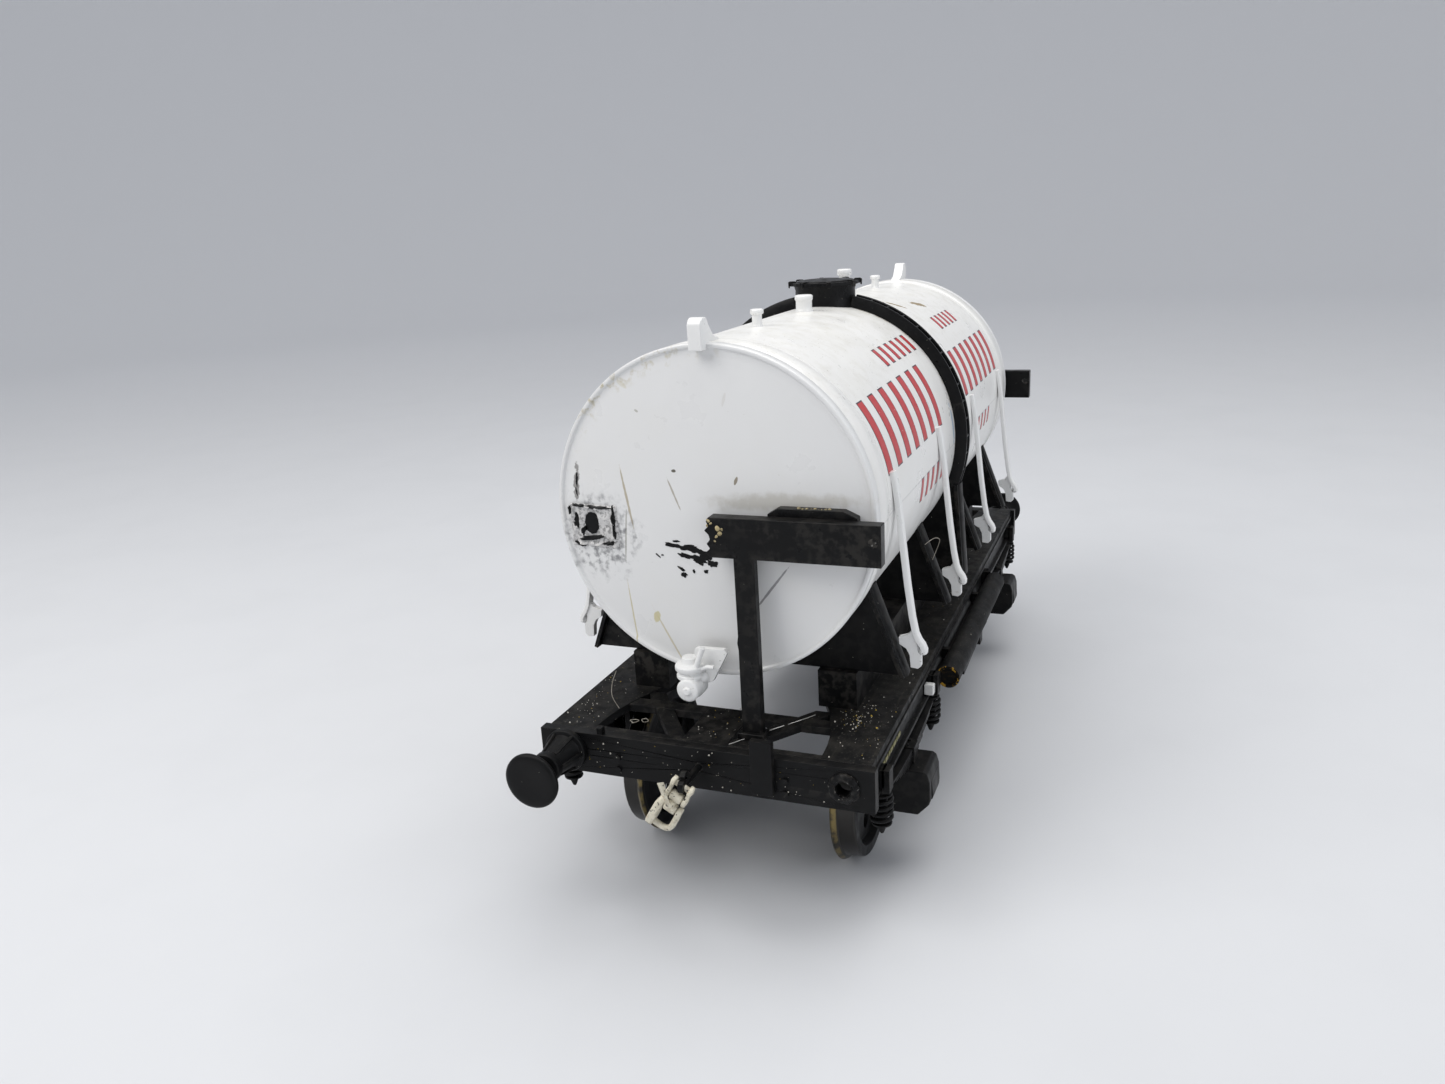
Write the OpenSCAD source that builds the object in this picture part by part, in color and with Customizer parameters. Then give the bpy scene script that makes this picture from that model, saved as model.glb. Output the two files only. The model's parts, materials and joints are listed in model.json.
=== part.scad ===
// Model tank wagon, 7 mm to the foot. X runs along the wagon, the damaged "near" end is at -X,
// Y runs across it and Z is up from the lowest point of the wheel flanges. All sizes are in mm.

/* [Tank] */
// Outside diameter of the tank at its end bands
tank_d = 45.2; // [44:0.1:46]
// Length of the tank between its rolled rims
tank_len = 110.8; // [108:0.1:113]
// Height of the tank's axis above the lowest point of the wheels
tank_z = 55.1; // [54.8:0.1:56]
// Wall thickness of the tank barrel
tank_wall = 1.4; // [1:0.1:1.8]
// How far the tank ends bulge
dish = 1.2; // [0.6:0.1:1.6]

/* [Tank fittings] */
// Outside diameter of the manhole neck
manhole_d = 10.2; // [9:0.1:11]
// Width of the centre band along the wagon
band_w = 4; // [3.2:0.1:4.6]
// Distance of the small vents from the middle
small_vent_x = 34; // [28:0.5:38]
// Distance of the two middle vents from the middle
mid_vent_x = 12; // [10:0.5:16]

/* [Cradles and tie rods] */
// Distance of the outer cradles from the middle
outer_cradle_x = 45.4; // [43:0.1:46]
// Distance of the inner cradles from the middle
inner_cradle_x = 15.1; // [12:0.1:18]
// Half width of a cradle at its foot
cradle_foot_y = 24.2; // [23:0.1:24.6]

/* [Underframe] */
// Length over the headstocks
frame_len = 128; // [126:0.5:132]
// Width of a headstock
headstock_w = 48; // [47:0.1:49]
// Height of the deck's top face
deck_z = 25.5; // [25.3:0.1:25.7]
// Thickness of the deck plate
deck_t = 1.2; // [1:0.1:1.4]
// Depth of a headstock
headstock_h = 6; // [5.6:0.1:6.4]

/* [Running gear] */
// Distance between the two axles
wheelbase = 84; // [80:0.5:86]
// Diameter over a wheel's tread
tread_d = 21.4; // [21:0.1:21.8]
// Depth of a wheel's flange
flange_depth = 0.8; // [0.6:0.1:0.9]
// Distance between the backs of a pair of wheels
back_to_back = 29; // [28.8:0.1:29.2]

/* [Buffers and couplings] */
// Distance between the two buffer centres at one end
buffer_spacing = 40; // [39:0.1:40.5]
// Height of the buffer centres
buffer_z = 22.7; // [22.3:0.1:22.9]
// How far a buffer's face stands out from its headstock
buffer_out = 10; // [9.6:0.1:10.4]
// Sideways lean of the near coupling, which was glued askew
near_lean = 30; // [0:1:32]

/* [Hidden] */

round_fn = 96;
small_fn = 32;
fit = 0.05;                      // radial running clearance of a shaft in its hole
tank_r = tank_d / 2;
body_r = tank_r - 0.25;          // the barrel between its end bands
tank_half = tank_len / 2;
rim_w = 1.8;                     // width of an end's rolled rim
barrel_half = tank_half - rim_w;
inner_r = body_r - tank_wall;
end_band_w = 4.1;
seam_x = 5.6;                    // from the barrel's end to the fine seam round it
seam_d = 0.2;
neck_r = manhole_d / 2;
neck_bore_r = neck_r - 1.5;
neck_top = tank_z + tank_r + 3;
frame_half = frame_len / 2;
headstock_t = 1.6;
frame_in = frame_half - headstock_t;      // inner face of a headstock
deck_under = deck_z - deck_t;
deck_half_w = 23.2;
headstock_bottom = deck_z - headstock_h;
cradle_z = deck_z + 5.5;
axle_x = wheelbase / 2;
tread_r = tread_d / 2;
flange_r = tread_r + flange_depth;
axle_z = flange_r;
wheel_back = back_to_back / 2;
wheel_w = 3.5;
axle_r = 1.5;
journal_r = 0.9;
guard_y = 19.6;                  // inner face of an axleguard
guard_t = 1;
box_y = 27.2;                    // outer face of an axlebox
box_top = 16.2;
box_bottom = 9.3;
solebar_bottom = deck_z - 5.8;
solebar_y = 21.8;
spring_y = 23.2;
hanger_x = 14.6;
shank_r = 0.5;                   // drawhook
buffer_r = 1.1;                  // thick part of a buffer's shank
tail_r = 0.5;                    // thin part behind it, inside the spring
socket_r = 1.1;                  // hole left by the missing buffer
wire = 0.3;                      // thickness of the spring wire
hook_z = 22.8;
pin_x = frame_half + 5.4;        // pivot of the coupling link on the drawhook
pin_r = 0.4;
link_len = 1.9;
screw_len = 1.9;
shackle_len = 3.9;
strap_y = 1;                     // inner face of a link or shackle strap
beam_x = tank_half + 1.9;        // inner face of an end beam
beam_z = tank_z - 1.9;
beam_h = 5.7;
far_beam_y = 27.2;
post_w = 3.1;
tube_r = 1.8;
tube_y = 25.5;
tube_z = 21.6;
tube_half = 24;
shaft_z = 13.5;

// Turns local Z to world X
module along_x(x) { translate([x, 0, 0]) rotate([0, 90, 0]) children(); }
// Turns local Z to world Y
module along_y(y) { translate([0, y, 0]) rotate([-90, 0, 0]) children(); }
// Extrudes a Y-Z outline along X, centred on x
module plate_x(x, t) {
    translate([x - t / 2, 0, 0]) rotate([90, 0, 90]) linear_extrude(t) children();
}
// Extrudes an X-Z outline along Y, starting at y
module plate_y(y, t) { translate([0, y + t, 0]) rotate([90, 0, 0]) linear_extrude(t) children(); }
// Draws its children as they are and mirrored to the other side
module both_sides() { children(); mirror([0, 1, 0]) children(); }
// Draws its children at the near end, or turned round to the far end
module at_end(end) { mirror([end > 0 ? 1 : 0, 0, 0]) children(); }
// Solid cylinder of the tank's outside, with its axis along X
module tank_solid(r = body_r) translate([0, 0, tank_z]) along_x(-90)
    cylinder(r = r, h = 180, $fn = round_fn);

// ---- Tank ----

module tank_barrel() color("white") difference() {
    translate([0, 0, tank_z]) along_x(-barrel_half) union() {
        cylinder(r = body_r, h = 2 * barrel_half, $fn = round_fn);
        for (z = [0, 2 * barrel_half - end_band_w]) translate([0, 0, z])
            cylinder(r = tank_r, h = end_band_w, $fn = round_fn);
    }
    translate([0, 0, tank_z]) along_x(-90) cylinder(r = inner_r, h = 180, $fn = round_fn);
    for (x = [-1, 1] * (barrel_half - seam_x)) translate([0, 0, tank_z]) along_x(x - seam_d / 2)
        rotate_extrude($fn = round_fn) translate([body_r - seam_d, 0]) square([1, seam_d]);
    translate([0, 0, tank_z]) cylinder(r = neck_bore_r, h = tank_r + 2, $fn = small_fn);
}

// A dished end with a rolled rim and a spigot that fits inside the barrel
module tank_end(end) color("white") at_end(end) translate([0, 0, tank_z]) mirror([1, 0, 0])
    along_x(barrel_half) rotate_extrude($fn = round_fn) polygon(concat(
        [[0, rim_w - 1.2], [inner_r - 1.2, rim_w - 1.2], [inner_r - 1.2, -3], [inner_r - fit, -3],
         [inner_r - fit, 0], [tank_r, 0], [tank_r, rim_w - 0.15], [tank_r - 0.15, rim_w],
         [tank_r - 0.65, rim_w], [tank_r - 0.75, rim_w - 0.3]],
        [for (a = [10 : -1 : 0]) let (r = (tank_r - 0.8) * a / 10.5)
            [r, rim_w - 0.3 + dish * (1 - pow(r / (tank_r - 0.8), 2))]]));

module ballast_weight() color("dimgray") intersection() {
    tank_solid(inner_r - 0.1);
    translate([-30, -9, tank_z - tank_r]) cube([60, 18, 7.5]);
}

module lifting_lugs() color("white") for (end = [-1, 1]) at_end(end) difference() {
    plate_y(-0.95, 1.9) polygon([[-tank_half - 1.5, tank_z + tank_r - 0.9],
        [-tank_half - 1.5, tank_z + tank_r + 3], [-tank_half - 1.2, tank_z + tank_r + 3.3],
        [-tank_half + 0.5, tank_z + tank_r + 3.3], [-tank_half + 0.9, tank_z + tank_r + 3],
        [-tank_half + 4.6, tank_z + tank_r + 0.2], [-tank_half + 4.6, tank_z + tank_r - 0.9]]);
    translate([0, 0, tank_z]) along_x(-tank_half) cylinder(r = tank_r, h = 30, $fn = round_fn);
}

// A round vent standing on top of the tank: stem and cap radii, and heights above the tank
module vent(x, stem_r, cap_r, cap_base, top) difference() {
    translate([x, 0, tank_z + tank_r]) rotate_extrude($fn = small_fn) polygon([
        [0, -1], [stem_r, -1], [stem_r, cap_base], [cap_r, cap_base + 0.1],
        [cap_r, top - 0.25], [cap_r - 0.25, top], [0, top]]);
    tank_solid();
}

module small_vents() color("white") for (x = [-small_vent_x, small_vent_x])
    vent(x, 0.75, 0.98, 1.6, 2.2);
module vent_stub() color("white") vent(-mid_vent_x, 1.35, 1.4, 0.3, 2.3);
module breather_vent() color("white") vent(mid_vent_x, 1.05, 1.3, 4.1, 4.8);

module manhole_neck() color("#1c1c1e") difference() {
    translate([0, 0, tank_z + tank_r - 1.4]) cylinder(r = neck_r, h = 4.4, $fn = round_fn);
    translate([0, 0, tank_z]) cylinder(r = neck_bore_r, h = tank_r + 4, $fn = small_fn);
    tank_solid();
}

module manhole_lid() color("#1c1c1e") translate([0, 0, neck_top]) {
    translate([0, 0, -1]) cylinder(r = neck_bore_r - fit, h = 1, $fn = small_fn);
    cylinder(r = neck_r + 0.8, h = 0.8, $fn = round_fn);
    translate([0, 0, 0.8]) cylinder(r = neck_r - 0.9, h = 0.25, $fn = round_fn);
}

// Clamps that hook over the lid's edge
module lid_clamps() color("#202022") for (a = [22.5 : 45 : 337.5])
    translate([0, 0, neck_top]) rotate(a) plate_y(-0.55, 1.1) polygon([
        [neck_r - 0.1, 0.8], [neck_r + 0.8, 0.8], [neck_r + 0.8, 0], [neck_r + 1.15, 0],
        [neck_r + 1.15, 0.9], [neck_r + 0.9, 1.1], [neck_r - 0.1, 1.1]]);

// The band has a flat web and a raised flange along each edge, and ends on the middle cradle
module centre_band() color("#18181a") difference() {
    translate([0, 0, tank_z]) along_x(-band_w / 2) rotate_extrude($fn = round_fn) polygon([
        [body_r, 0], [body_r + 1.9, 0], [body_r + 1.9, 0.7], [body_r + 0.9, 0.9],
        [body_r + 0.9, band_w / 2 - 0.3], [body_r + 1.4, band_w / 2 - 0.2],
        [body_r + 1.4, band_w / 2 + 0.2], [body_r + 0.9, band_w / 2 + 0.3],
        [body_r + 0.9, band_w - 0.9], [body_r + 1.9, band_w - 0.7],
        [body_r + 1.9, band_w], [body_r, band_w]]);
    translate([0, 0, tank_z]) cylinder(r = neck_r, h = 40, $fn = round_fn);
    translate([-5, -40, 0]) cube([10, 80, tank_z - 8]);
}

// ---- Cradles and tie rods ----

cradle_top_y = 19.4;
cradle_top_z = tank_z - 11.4;
// Y of a cradle's sloping edge at height z
function cradle_edge(z) = cradle_foot_y
    + (cradle_top_y - cradle_foot_y) * (z - cradle_z) / (cradle_top_z - cradle_z);

module cradle(x) color("#1a1b1d") difference() {
    union() {
        plate_x(x, 1.4) polygon([[-cradle_foot_y, cradle_z], [cradle_foot_y, cradle_z],
            [cradle_top_y, cradle_top_z], [-cradle_top_y, cradle_top_z]]);
        both_sides() plate_x(x, 3.6) polygon([[cradle_foot_y, cradle_z],
            [cradle_top_y, cradle_top_z], [cradle_top_y - 1, cradle_top_z],
            [cradle_foot_y - 1, cradle_z]]);
    }
    tank_solid();
}

// The middle cradle is wider above, to meet the ends of the centre band
module cradle_centre() color("#1a1b1d") difference() {
    union() {
        plate_x(0, 1.4) polygon([[-cradle_foot_y, cradle_z], [cradle_foot_y, cradle_z],
            [23, tank_z - 8], [-23, tank_z - 8]]);
        both_sides() plate_x(0, band_w) polygon([[cradle_foot_y, cradle_z], [23, tank_z - 8],
            [21.6, tank_z - 8], [cradle_foot_y - 1.4, cradle_z]]);
    }
    tank_solid();
}

// A strap that leaves the tank's side, ends in a hook and is joined to its cradle by a web
module tie_rod(x) difference() {
    union() {
        plate_x(x, 1.5) polygon([[-20, tank_z + 3.9], [-22.6, tank_z + 3.7], [-23.5, tank_z],
            [-25.5, 37.4], [-26.5, 35.9], [-26.6, 35], [-26.1, 34.4], [-25.3, 34.3],
            [-24.6, 35.1], [-24.2, 36.6], [-23.4, 44], [-20, tank_z]]);
        plate_x(x, 1.1) polygon([[-cradle_edge(37) - 0.02, 37], [-cradle_edge(36) - 0.7, 35.9],
            [-24.4, 36.8], [-25.2, 34.6], [-25.9, 34.6], [-25.9, 32.5], [-25.5, 32.1],
            [-24.5, 32.1], [-cradle_edge(33.6) - 0.02, 33.6]]);
    }
    tank_solid();
    translate([x - 5, 0, 0]) plate_x(5, 12) polygon([[0, cradle_z - 1],
        [-cradle_foot_y - 0.4, cradle_z - 1], [-cradle_edge(44), 44], [0, 44]]);
}
cradle_rows = [-outer_cradle_x, -inner_cradle_x, inner_cradle_x, outer_cradle_x];
module tie_rods_right() color("white") for (x = cradle_rows) tie_rod(x);
module tie_rods_left() color("white") mirror([0, 1, 0]) for (x = cradle_rows) tie_rod(x);

// Blocks on the end faces of the inner spring hangers' brackets
module rod_anchors() color("white") both_sides() for (end = [-1, 1]) at_end(end)
    translate([-axle_x + hanger_x - 1.6, 22.75, solebar_bottom + 0.75]) cube([1.4, 1.45, 1.8]);

// ---- Underframe ----

// Inner edge of the side plates at x, where they widen towards the middle
side_in = 16.3;
mid_in = 10;
taper_x = 41;
open_x = frame_in - 1.2;

cross_x = [-52.4, -29, 0, 29, 52.4];
cross_w = 2.4;

// What stays of the deck inside its large opening: cross members, centre plates and braces
module deck_members() {
    for (x = cross_x) translate([x - cross_w / 2, -20]) square([cross_w, 40]);
    for (s = [-1, 1]) {
        translate([s * 57 - 7, -3.3]) square([14, 6.6]);
        for (t = [-1, 1]) polygon([[s * 63, t * 2.6], [s * 63, t * 5.1],
            [s * 48.5, t * 14.3], [s * 48.5, t * 11.6]]);
    }
}

screw_x = 22;
screw_y = 14;
screw_r = 0.7;

module deck_plate() color("#2b2b2c") difference() {
    translate([-frame_in, -deck_half_w, deck_under]) cube([2 * frame_in, 2 * deck_half_w, deck_t]);
    translate([0, 0, deck_under - 1]) linear_extrude(deck_t + 2) difference() {
        polygon([[-open_x, -side_in], [-taper_x, -mid_in], [taper_x, -mid_in],
            [open_x, -side_in], [open_x, side_in], [taper_x, mid_in], [-taper_x, mid_in],
            [-open_x, side_in]]);
        deck_members();
    }
    for (x = [-screw_x, screw_x]) both_sides() translate([x, screw_y, deck_under - 1])
        cylinder(r = screw_r + 0.1, h = deck_t + 2, $fn = small_fn);
}

module bearers() color("#202021") both_sides() difference() {
    translate([-outer_cradle_x - 1.8, 11.6, deck_z])
        cube([2 * outer_cradle_x + 3.6, 5.6, cradle_z - deck_z]);
    for (x = [-screw_x, screw_x]) translate([x, screw_y, deck_z - 1])
        cylinder(r = screw_r, h = 4.8, $fn = small_fn);
}

// Round-headed screws that hold the bearers down, put in from below the deck
module fixing_screws() color("#8f8f8f") for (x = [-screw_x, screw_x]) both_sides()
    translate([x, screw_y, deck_under - 0.8]) {
        difference() {
            cylinder(r = 1.3, h = 0.8, $fn = small_fn);
            translate([-2, -0.15, -0.5]) cube([4, 0.3, 0.85]);
        }
        cylinder(r = screw_r, h = 5, $fn = small_fn);
    }

module solebar(side) color("#232324") mirror([0, side > 0 ? 1 : 0, 0])
    plate_x(0, 2 * frame_in) polygon([[-solebar_y, deck_under], [-23.4, deck_under],
        [-23.4, deck_under - 0.6], [-22.7, deck_under - 0.7], [-22.7, solebar_bottom + 0.7],
        [-23.4, solebar_bottom + 0.6], [-23.4, solebar_bottom], [-solebar_y, solebar_bottom]]);

module headstock(end) color("#222223") at_end(end) difference() {
    translate([-frame_half, -headstock_w / 2, headstock_bottom])
        cube([headstock_t, headstock_w, headstock_h]);
    for (y = [-1, 1] * buffer_spacing / 2) translate([0, y, buffer_z]) along_x(-frame_half - 1)
        cylinder(r = end < 0 && y < 0 ? socket_r : tail_r + fit, h = 4, $fn = small_fn);
    translate([0, 0, hook_z]) along_x(-frame_half - 1)
        cylinder(r = shank_r + fit, h = 4, $fn = small_fn);
}

module headstock_bolts() color("#3c3c3e") for (end = [-1, 1]) at_end(end) both_sides()
    for (z = [20.7, 22.5]) translate([0, 12.1, z]) along_x(-frame_half - 0.35)
        cylinder(r = 0.45, h = 0.35, $fn = small_fn);

// ---- Running gear ----

module axleguards() color("#1d1d1e") for (x = [-axle_x, axle_x]) both_sides()
    translate([x, 0, 0]) difference() {
        plate_y(guard_y, guard_t) polygon([[-12.5, deck_under], [12.5, deck_under],
            [12.5, 22.4], [4.2, 7.4], [-4.2, 7.4], [-12.5, 22.4]]);
        for (s = [-1, 1]) plate_y(guard_y - 1, guard_t + 2) polygon([[s * 3.6, 21.6],
            [s * 9.4, 21.6], [s * 3.6, 11]]);
        translate([0, 0, axle_z]) along_y(guard_y - 1) cylinder(r = 1.6, h = 3, $fn = small_fn);
    }

// An axlebox with a chamfered outer face and a blind hole for its bearing cup
module axleboxes() color("#202021") for (x = [-axle_x, axle_x]) both_sides()
    translate([x, 0, 0]) difference() {
        plate_x(0, 7) polygon([[guard_y + guard_t, box_top], [25.6, box_top],
            [26.6, box_top - 0.9], [box_y, box_top - 3.6], [26.9, box_bottom + 1.9],
            [25.9, box_bottom + 0.4], [24.6, box_bottom], [guard_y + guard_t, box_bottom]]);
        translate([0, 0, axle_z]) along_y(guard_y) cylinder(r = 1.6, h = 3.8, $fn = small_fn);
    }

module bearing_cups() color("#b08d3c") for (x = [-axle_x, axle_x]) both_sides()
    translate([x, 0, axle_z]) along_y(guard_y - 0.5) rotate_extrude($fn = small_fn) polygon([
        [journal_r + fit, 0], [2.3, 0], [2.3, 0.5], [1.6, 0.5], [1.6, 4.3], [0, 4.3],
        [0, 3.5], [journal_r + fit, 3.5]]);

// Five curved leaves, each shorter than the one above it
leaf_t = 0.46;
function leaf_rise(x) = 0.006 * x * x;
module leaf_springs() color("#1f1f20") for (x = [-axle_x, axle_x]) both_sides()
    translate([x, 0, 0]) {
        for (i = [0 : 4]) let (half = 13.4 - 2.4 * i, z = box_top + leaf_t * (4 - i))
            plate_y(spring_y - 0.9, 1.8) polygon(concat(
                [for (k = [-4 : 4]) [half * k / 4, z + leaf_rise(half * k / 4)]],
                [for (k = [4 : -1 : -4]) [half * k / 4, z + leaf_t + leaf_rise(half * k / 4)]]));
        translate([-1.3, spring_y - 1.15, box_top]) cube([2.6, 2.3, 5 * leaf_t + 0.2]);
    }

// A bracket on the solebar with a coil and a pointed bolt below it, at each end of a leaf spring
module spring_hangers() color("#1c1c1d") for (x = [-axle_x, axle_x]) for (s = [-1, 1])
    both_sides() translate([x + s * (hanger_x + 0.9), spring_y, 0]) {
        translate([-1.1, 23.4 - spring_y, solebar_bottom]) cube([2.2, 1.2, 3.4]);
        translate([-1.1, 22.7 - spring_y, solebar_bottom + 0.7]) cube([2.2, 1.2, 2.7]);
        translate([0, 0, solebar_bottom - 7.2]) rotate_extrude($fn = small_fn) polygon(concat(
            [[0, 7.2], [0, 0], [0.35, 0.2], [0.8, 1.8], [0.8, 2.6]],
            [for (i = [0 : 3]) each [[1.4, 2.8 + i * 0.9], [1.4, 3.25 + i * 0.9],
                [1.1, 3.35 + i * 0.9], [1.1, 3.65 + i * 0.9]]], [[0.9, 6.5], [0.9, 7.2]]));
    }

module axle(x) color("silver") translate([x, 0, axle_z]) along_y(-22.4) rotate_extrude($fn = small_fn)
    polygon([[0, 0], [0.25, 0], [journal_r, 0.8], [journal_r, 3.6], [axle_r, 3.7],
        [axle_r, 41.1], [journal_r, 41.2], [journal_r, 44], [0.25, 44.8], [0, 44.8]]);

// A disc wheel with a flange on its inner side and three lightening holes
module wheel_pair(x) color("#3a3a3c") both_sides() translate([x, 0, axle_z])
    difference() {
        along_y(wheel_back) rotate_extrude($fn = round_fn) polygon([
            [axle_r, 0], [3.4, 0], [3.4, 1.1], [8.6, 1.1], [9, 0], [flange_r - 0.3, 0],
            [flange_r, 0.35], [flange_r - 0.25, 0.8], [tread_r + 0.05, 1.1],
            [tread_r - 0.1, wheel_w - 0.2], [tread_r - 0.3, wheel_w], [9, wheel_w],
            [8.6, 2.3], [3.4, 2.3], [3.2, wheel_w + 0.2], [axle_r, wheel_w + 0.2]]);
        for (a = [90, 210, 330]) rotate([0, a, 0]) translate([6, 0, 0]) along_y(wheel_back - 1)
            cylinder(r = 1.5, h = wheel_w + 2, $fn = small_fn);
    }

// ---- Brake and vacuum gear ----

module reservoirs() color("#252526") both_sides() {
    translate([0, -tube_y, tube_z]) along_x(-tube_half) rotate_extrude($fn = small_fn) polygon([
        [0, 0.4], [tube_r - 0.4, 0.4], [tube_r - 0.4, 0], [tube_r, 0], [tube_r, 2 * tube_half],
        [tube_r - 0.4, 2 * tube_half], [tube_r - 0.4, 2 * tube_half - 0.4],
        [0, 2 * tube_half - 0.4]]);
    for (x = [-14, 14]) translate([x - 0.6, -24, tube_z - 0.8]) cube([1.2, 1.3, 1.6]);
}

module brake_shoes() color("#242425") for (end = [-1, 1]) at_end(end) both_sides()
    translate([-axle_x, 0, 0]) {
        difference() {
            translate([0, 0, axle_z]) along_y(15.6) difference() {
                cylinder(r = tread_r + 2.1, h = 2.2, $fn = round_fn);
                translate([0, 0, -1]) cylinder(r = tread_r + 0.5, h = 5, $fn = round_fn);
            }
            translate([-30, 10, -10]) cube([38.5, 20, 50]);
            translate([0, 10, -10]) cube([30, 20, axle_z + 5]);
            translate([0, 10, axle_z + 5.6]) cube([30, 20, 50]);
        }
        translate([11.2, 15.9, axle_z + 3]) cube([1.2, 1.2, deck_under - axle_z - 3]);
    }

// A cross shaft, carried by a plate below each solebar
module brake_shaft() color("#2a2a2b") {
    translate([0, 0, shaft_z]) along_y(-23.4) cylinder(r = 0.7, h = 46.8, $fn = small_fn);
    both_sides() difference() {
        plate_y(20.2, 0.8) polygon([[-5, deck_under], [5, deck_under], [1.4, shaft_z - 1.4],
            [-1.4, shaft_z - 1.4]]);
        plate_y(19, 4) polygon([[-2.6, deck_under - 1.4], [2.6, deck_under - 1.4],
            [0, shaft_z + 2]]);
    }
}

// A hand lever on each side with its guard near one end
module brake_levers() color("#1f1f20") both_sides() {
    plate_y(23.4, 0.7) polygon([[-1.3, shaft_z + 1.2], [1.4, shaft_z + 1.2], [20, shaft_z + 0.6],
        [24.2, shaft_z + 0.3], [24.2, shaft_z - 0.6], [20, shaft_z - 0.4], [1.2, shaft_z - 1.2],
        [-1.3, shaft_z - 1.2]]);
    translate([20.5, 22.2, 9.4]) cube([2.6, 1.2, solebar_bottom - 9.4]);
}

// ---- Buffers ----

// Turns local Z to world X at a buffer's centre, starting the given distance outside the frame
module at_buffer(y, out) { translate([0, y, buffer_z]) along_x(-frame_half - out) children(); }
// Places its children for the near left buffer and for both far ones
module at_good_buffers() { children(); mirror([1, 0, 0]) both_sides() children(); }

module buffer_housings() color("#262628") at_good_buffers() at_buffer(buffer_spacing / 2, 6.2)
    rotate_extrude($fn = round_fn) polygon([[buffer_r + fit, 0], [2.1, 0], [2.1, 0.8],
        [1.8, 1.1], [2.2, 4.6], [2.5, 5.2], [3.1, 5.4], [3.1, 6.2], [1.5, 6.2], [1.5, 1.9],
        [buffer_r + fit, 1.9]]);

// A spring drawn as a sleeve with one rib per turn: inner and outer radius, length
module spring(inner, length) {
    turns = round(length / (1.6 * wire));
    pitch = length / turns;
    rotate_extrude($fn = small_fn) polygon(concat([[inner, length], [inner, 0]],
        [for (i = [0 : turns - 1]) each [[inner + wire, pitch * i],
            [inner + wire, pitch * (i + 0.6)], [inner + wire / 2, pitch * (i + 0.8)]]],
        [[inner + wire, length]]));
}
module buffer_springs() color("#9a9a9c") at_good_buffers() at_buffer(buffer_spacing / 2, 4.2)
    spring(tail_r + 0.2, 4.2);

// The broken-off housing at the near right corner: only a worn ring round its hole is left
module buffer_socket_near() color("#8a8782")
    at_buffer(-buffer_spacing / 2, 0.6) rotate_extrude($fn = small_fn) polygon([
        [socket_r, 0], [1.5, 0], [1.8, 0.25], [2.1, 0.3], [2.1, 0.6], [socket_r, 0.6]]);

// A buffer head, its shank, the thin tail through the spring and the nut behind the headstock
module buffer_head(y) color("#26262a") at_buffer(y, buffer_out) rotate_extrude($fn = round_fn)
    polygon([[0, 0], [2.2, 0.12], [3.4, 0.4], [3.9, 0.75], [3.9, 1.05], [3.4, 1.3], [1.5, 1.6],
        [buffer_r, 2], [buffer_r, buffer_out - 4.2], [tail_r, buffer_out - 4.2],
        [tail_r, buffer_out + headstock_t + 0.05], [1, buffer_out + headstock_t + 0.05],
        [1, buffer_out + headstock_t + 0.85], [0, buffer_out + headstock_t + 0.85]]);

// ---- Couplings ----

draw_spring = 3.8;
module draw_springs() color("#9a9a9c") for (end = [-1, 1]) at_end(end)
    translate([0, 0, hook_z]) along_x(-frame_in) spring(shank_r + 0.1, draw_spring);

// Places its children below the hook's pin at a distance down the coupling, which leans sideways
// at the near end
module on_hook(end, drop) at_end(end) translate([-pin_x, 0, hook_z])
    rotate([end < 0 ? near_lean : 0, 0, 0]) translate([0, 0, -drop]) children();

// Drawhook: a thin shank through the headstock, a hook and a crosswise hole for the link's pin
module drawhook(end) color("#2c2c2e") difference() {
    at_end(end) {
        translate([0, 0, hook_z]) along_x(-pin_x + 0.8)
            cylinder(r = shank_r, h = pin_x - frame_in + draw_spring, $fn = small_fn);
        plate_y(-0.4, 0.8) polygon([[-pin_x + 1.4, hook_z + 0.5], [-pin_x - 0.5, hook_z + 0.8],
            [-pin_x - 0.9, hook_z + 0.4], [-pin_x - 0.9, hook_z - 0.5], [-pin_x - 0.4, hook_z - 0.8],
            [-pin_x + 0.5, hook_z - 0.8], [-pin_x + 1.4, hook_z - 0.5]]);
        plate_y(-0.4, 0.8) polygon([[-pin_x + 1.7, hook_z + 0.3], [-pin_x + 1.3, hook_z + 1.6],
            [-pin_x + 0.5, hook_z + 1.7], [-pin_x - 0.1, hook_z + 1.3], [-pin_x + 0.1, hook_z + 1],
            [-pin_x + 0.6, hook_z + 1.2], [-pin_x + 0.9, hook_z + 0.3]]);
        translate([0, 0, hook_z]) along_x(-frame_in + draw_spring)
            cylinder(r = 1.2, h = 0.8, $fn = small_fn);
    }
    on_hook(end, 0) along_y(-3) cylinder(r = pin_r + fit, h = 6, $fn = small_fn);
}

// Two side straps with a pin at the top and an eye at the bottom
module link(end) color("ivory") on_hook(end, 0) {
    along_y(-strap_y - 0.6) cylinder(r = pin_r, h = 2 * strap_y + 1.2, $fn = small_fn);
    both_sides() difference() {
        plate_y(strap_y, 0.6) {
            circle(r = 0.75, $fn = small_fn);
            translate([0, -link_len]) circle(r = 0.75, $fn = small_fn);
            translate([-0.45, -link_len]) square([0.9, link_len]);
        }
        translate([0, 0, -link_len]) along_y(0) cylinder(r = pin_r + fit, h = 3, $fn = small_fn);
    }
}

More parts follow.
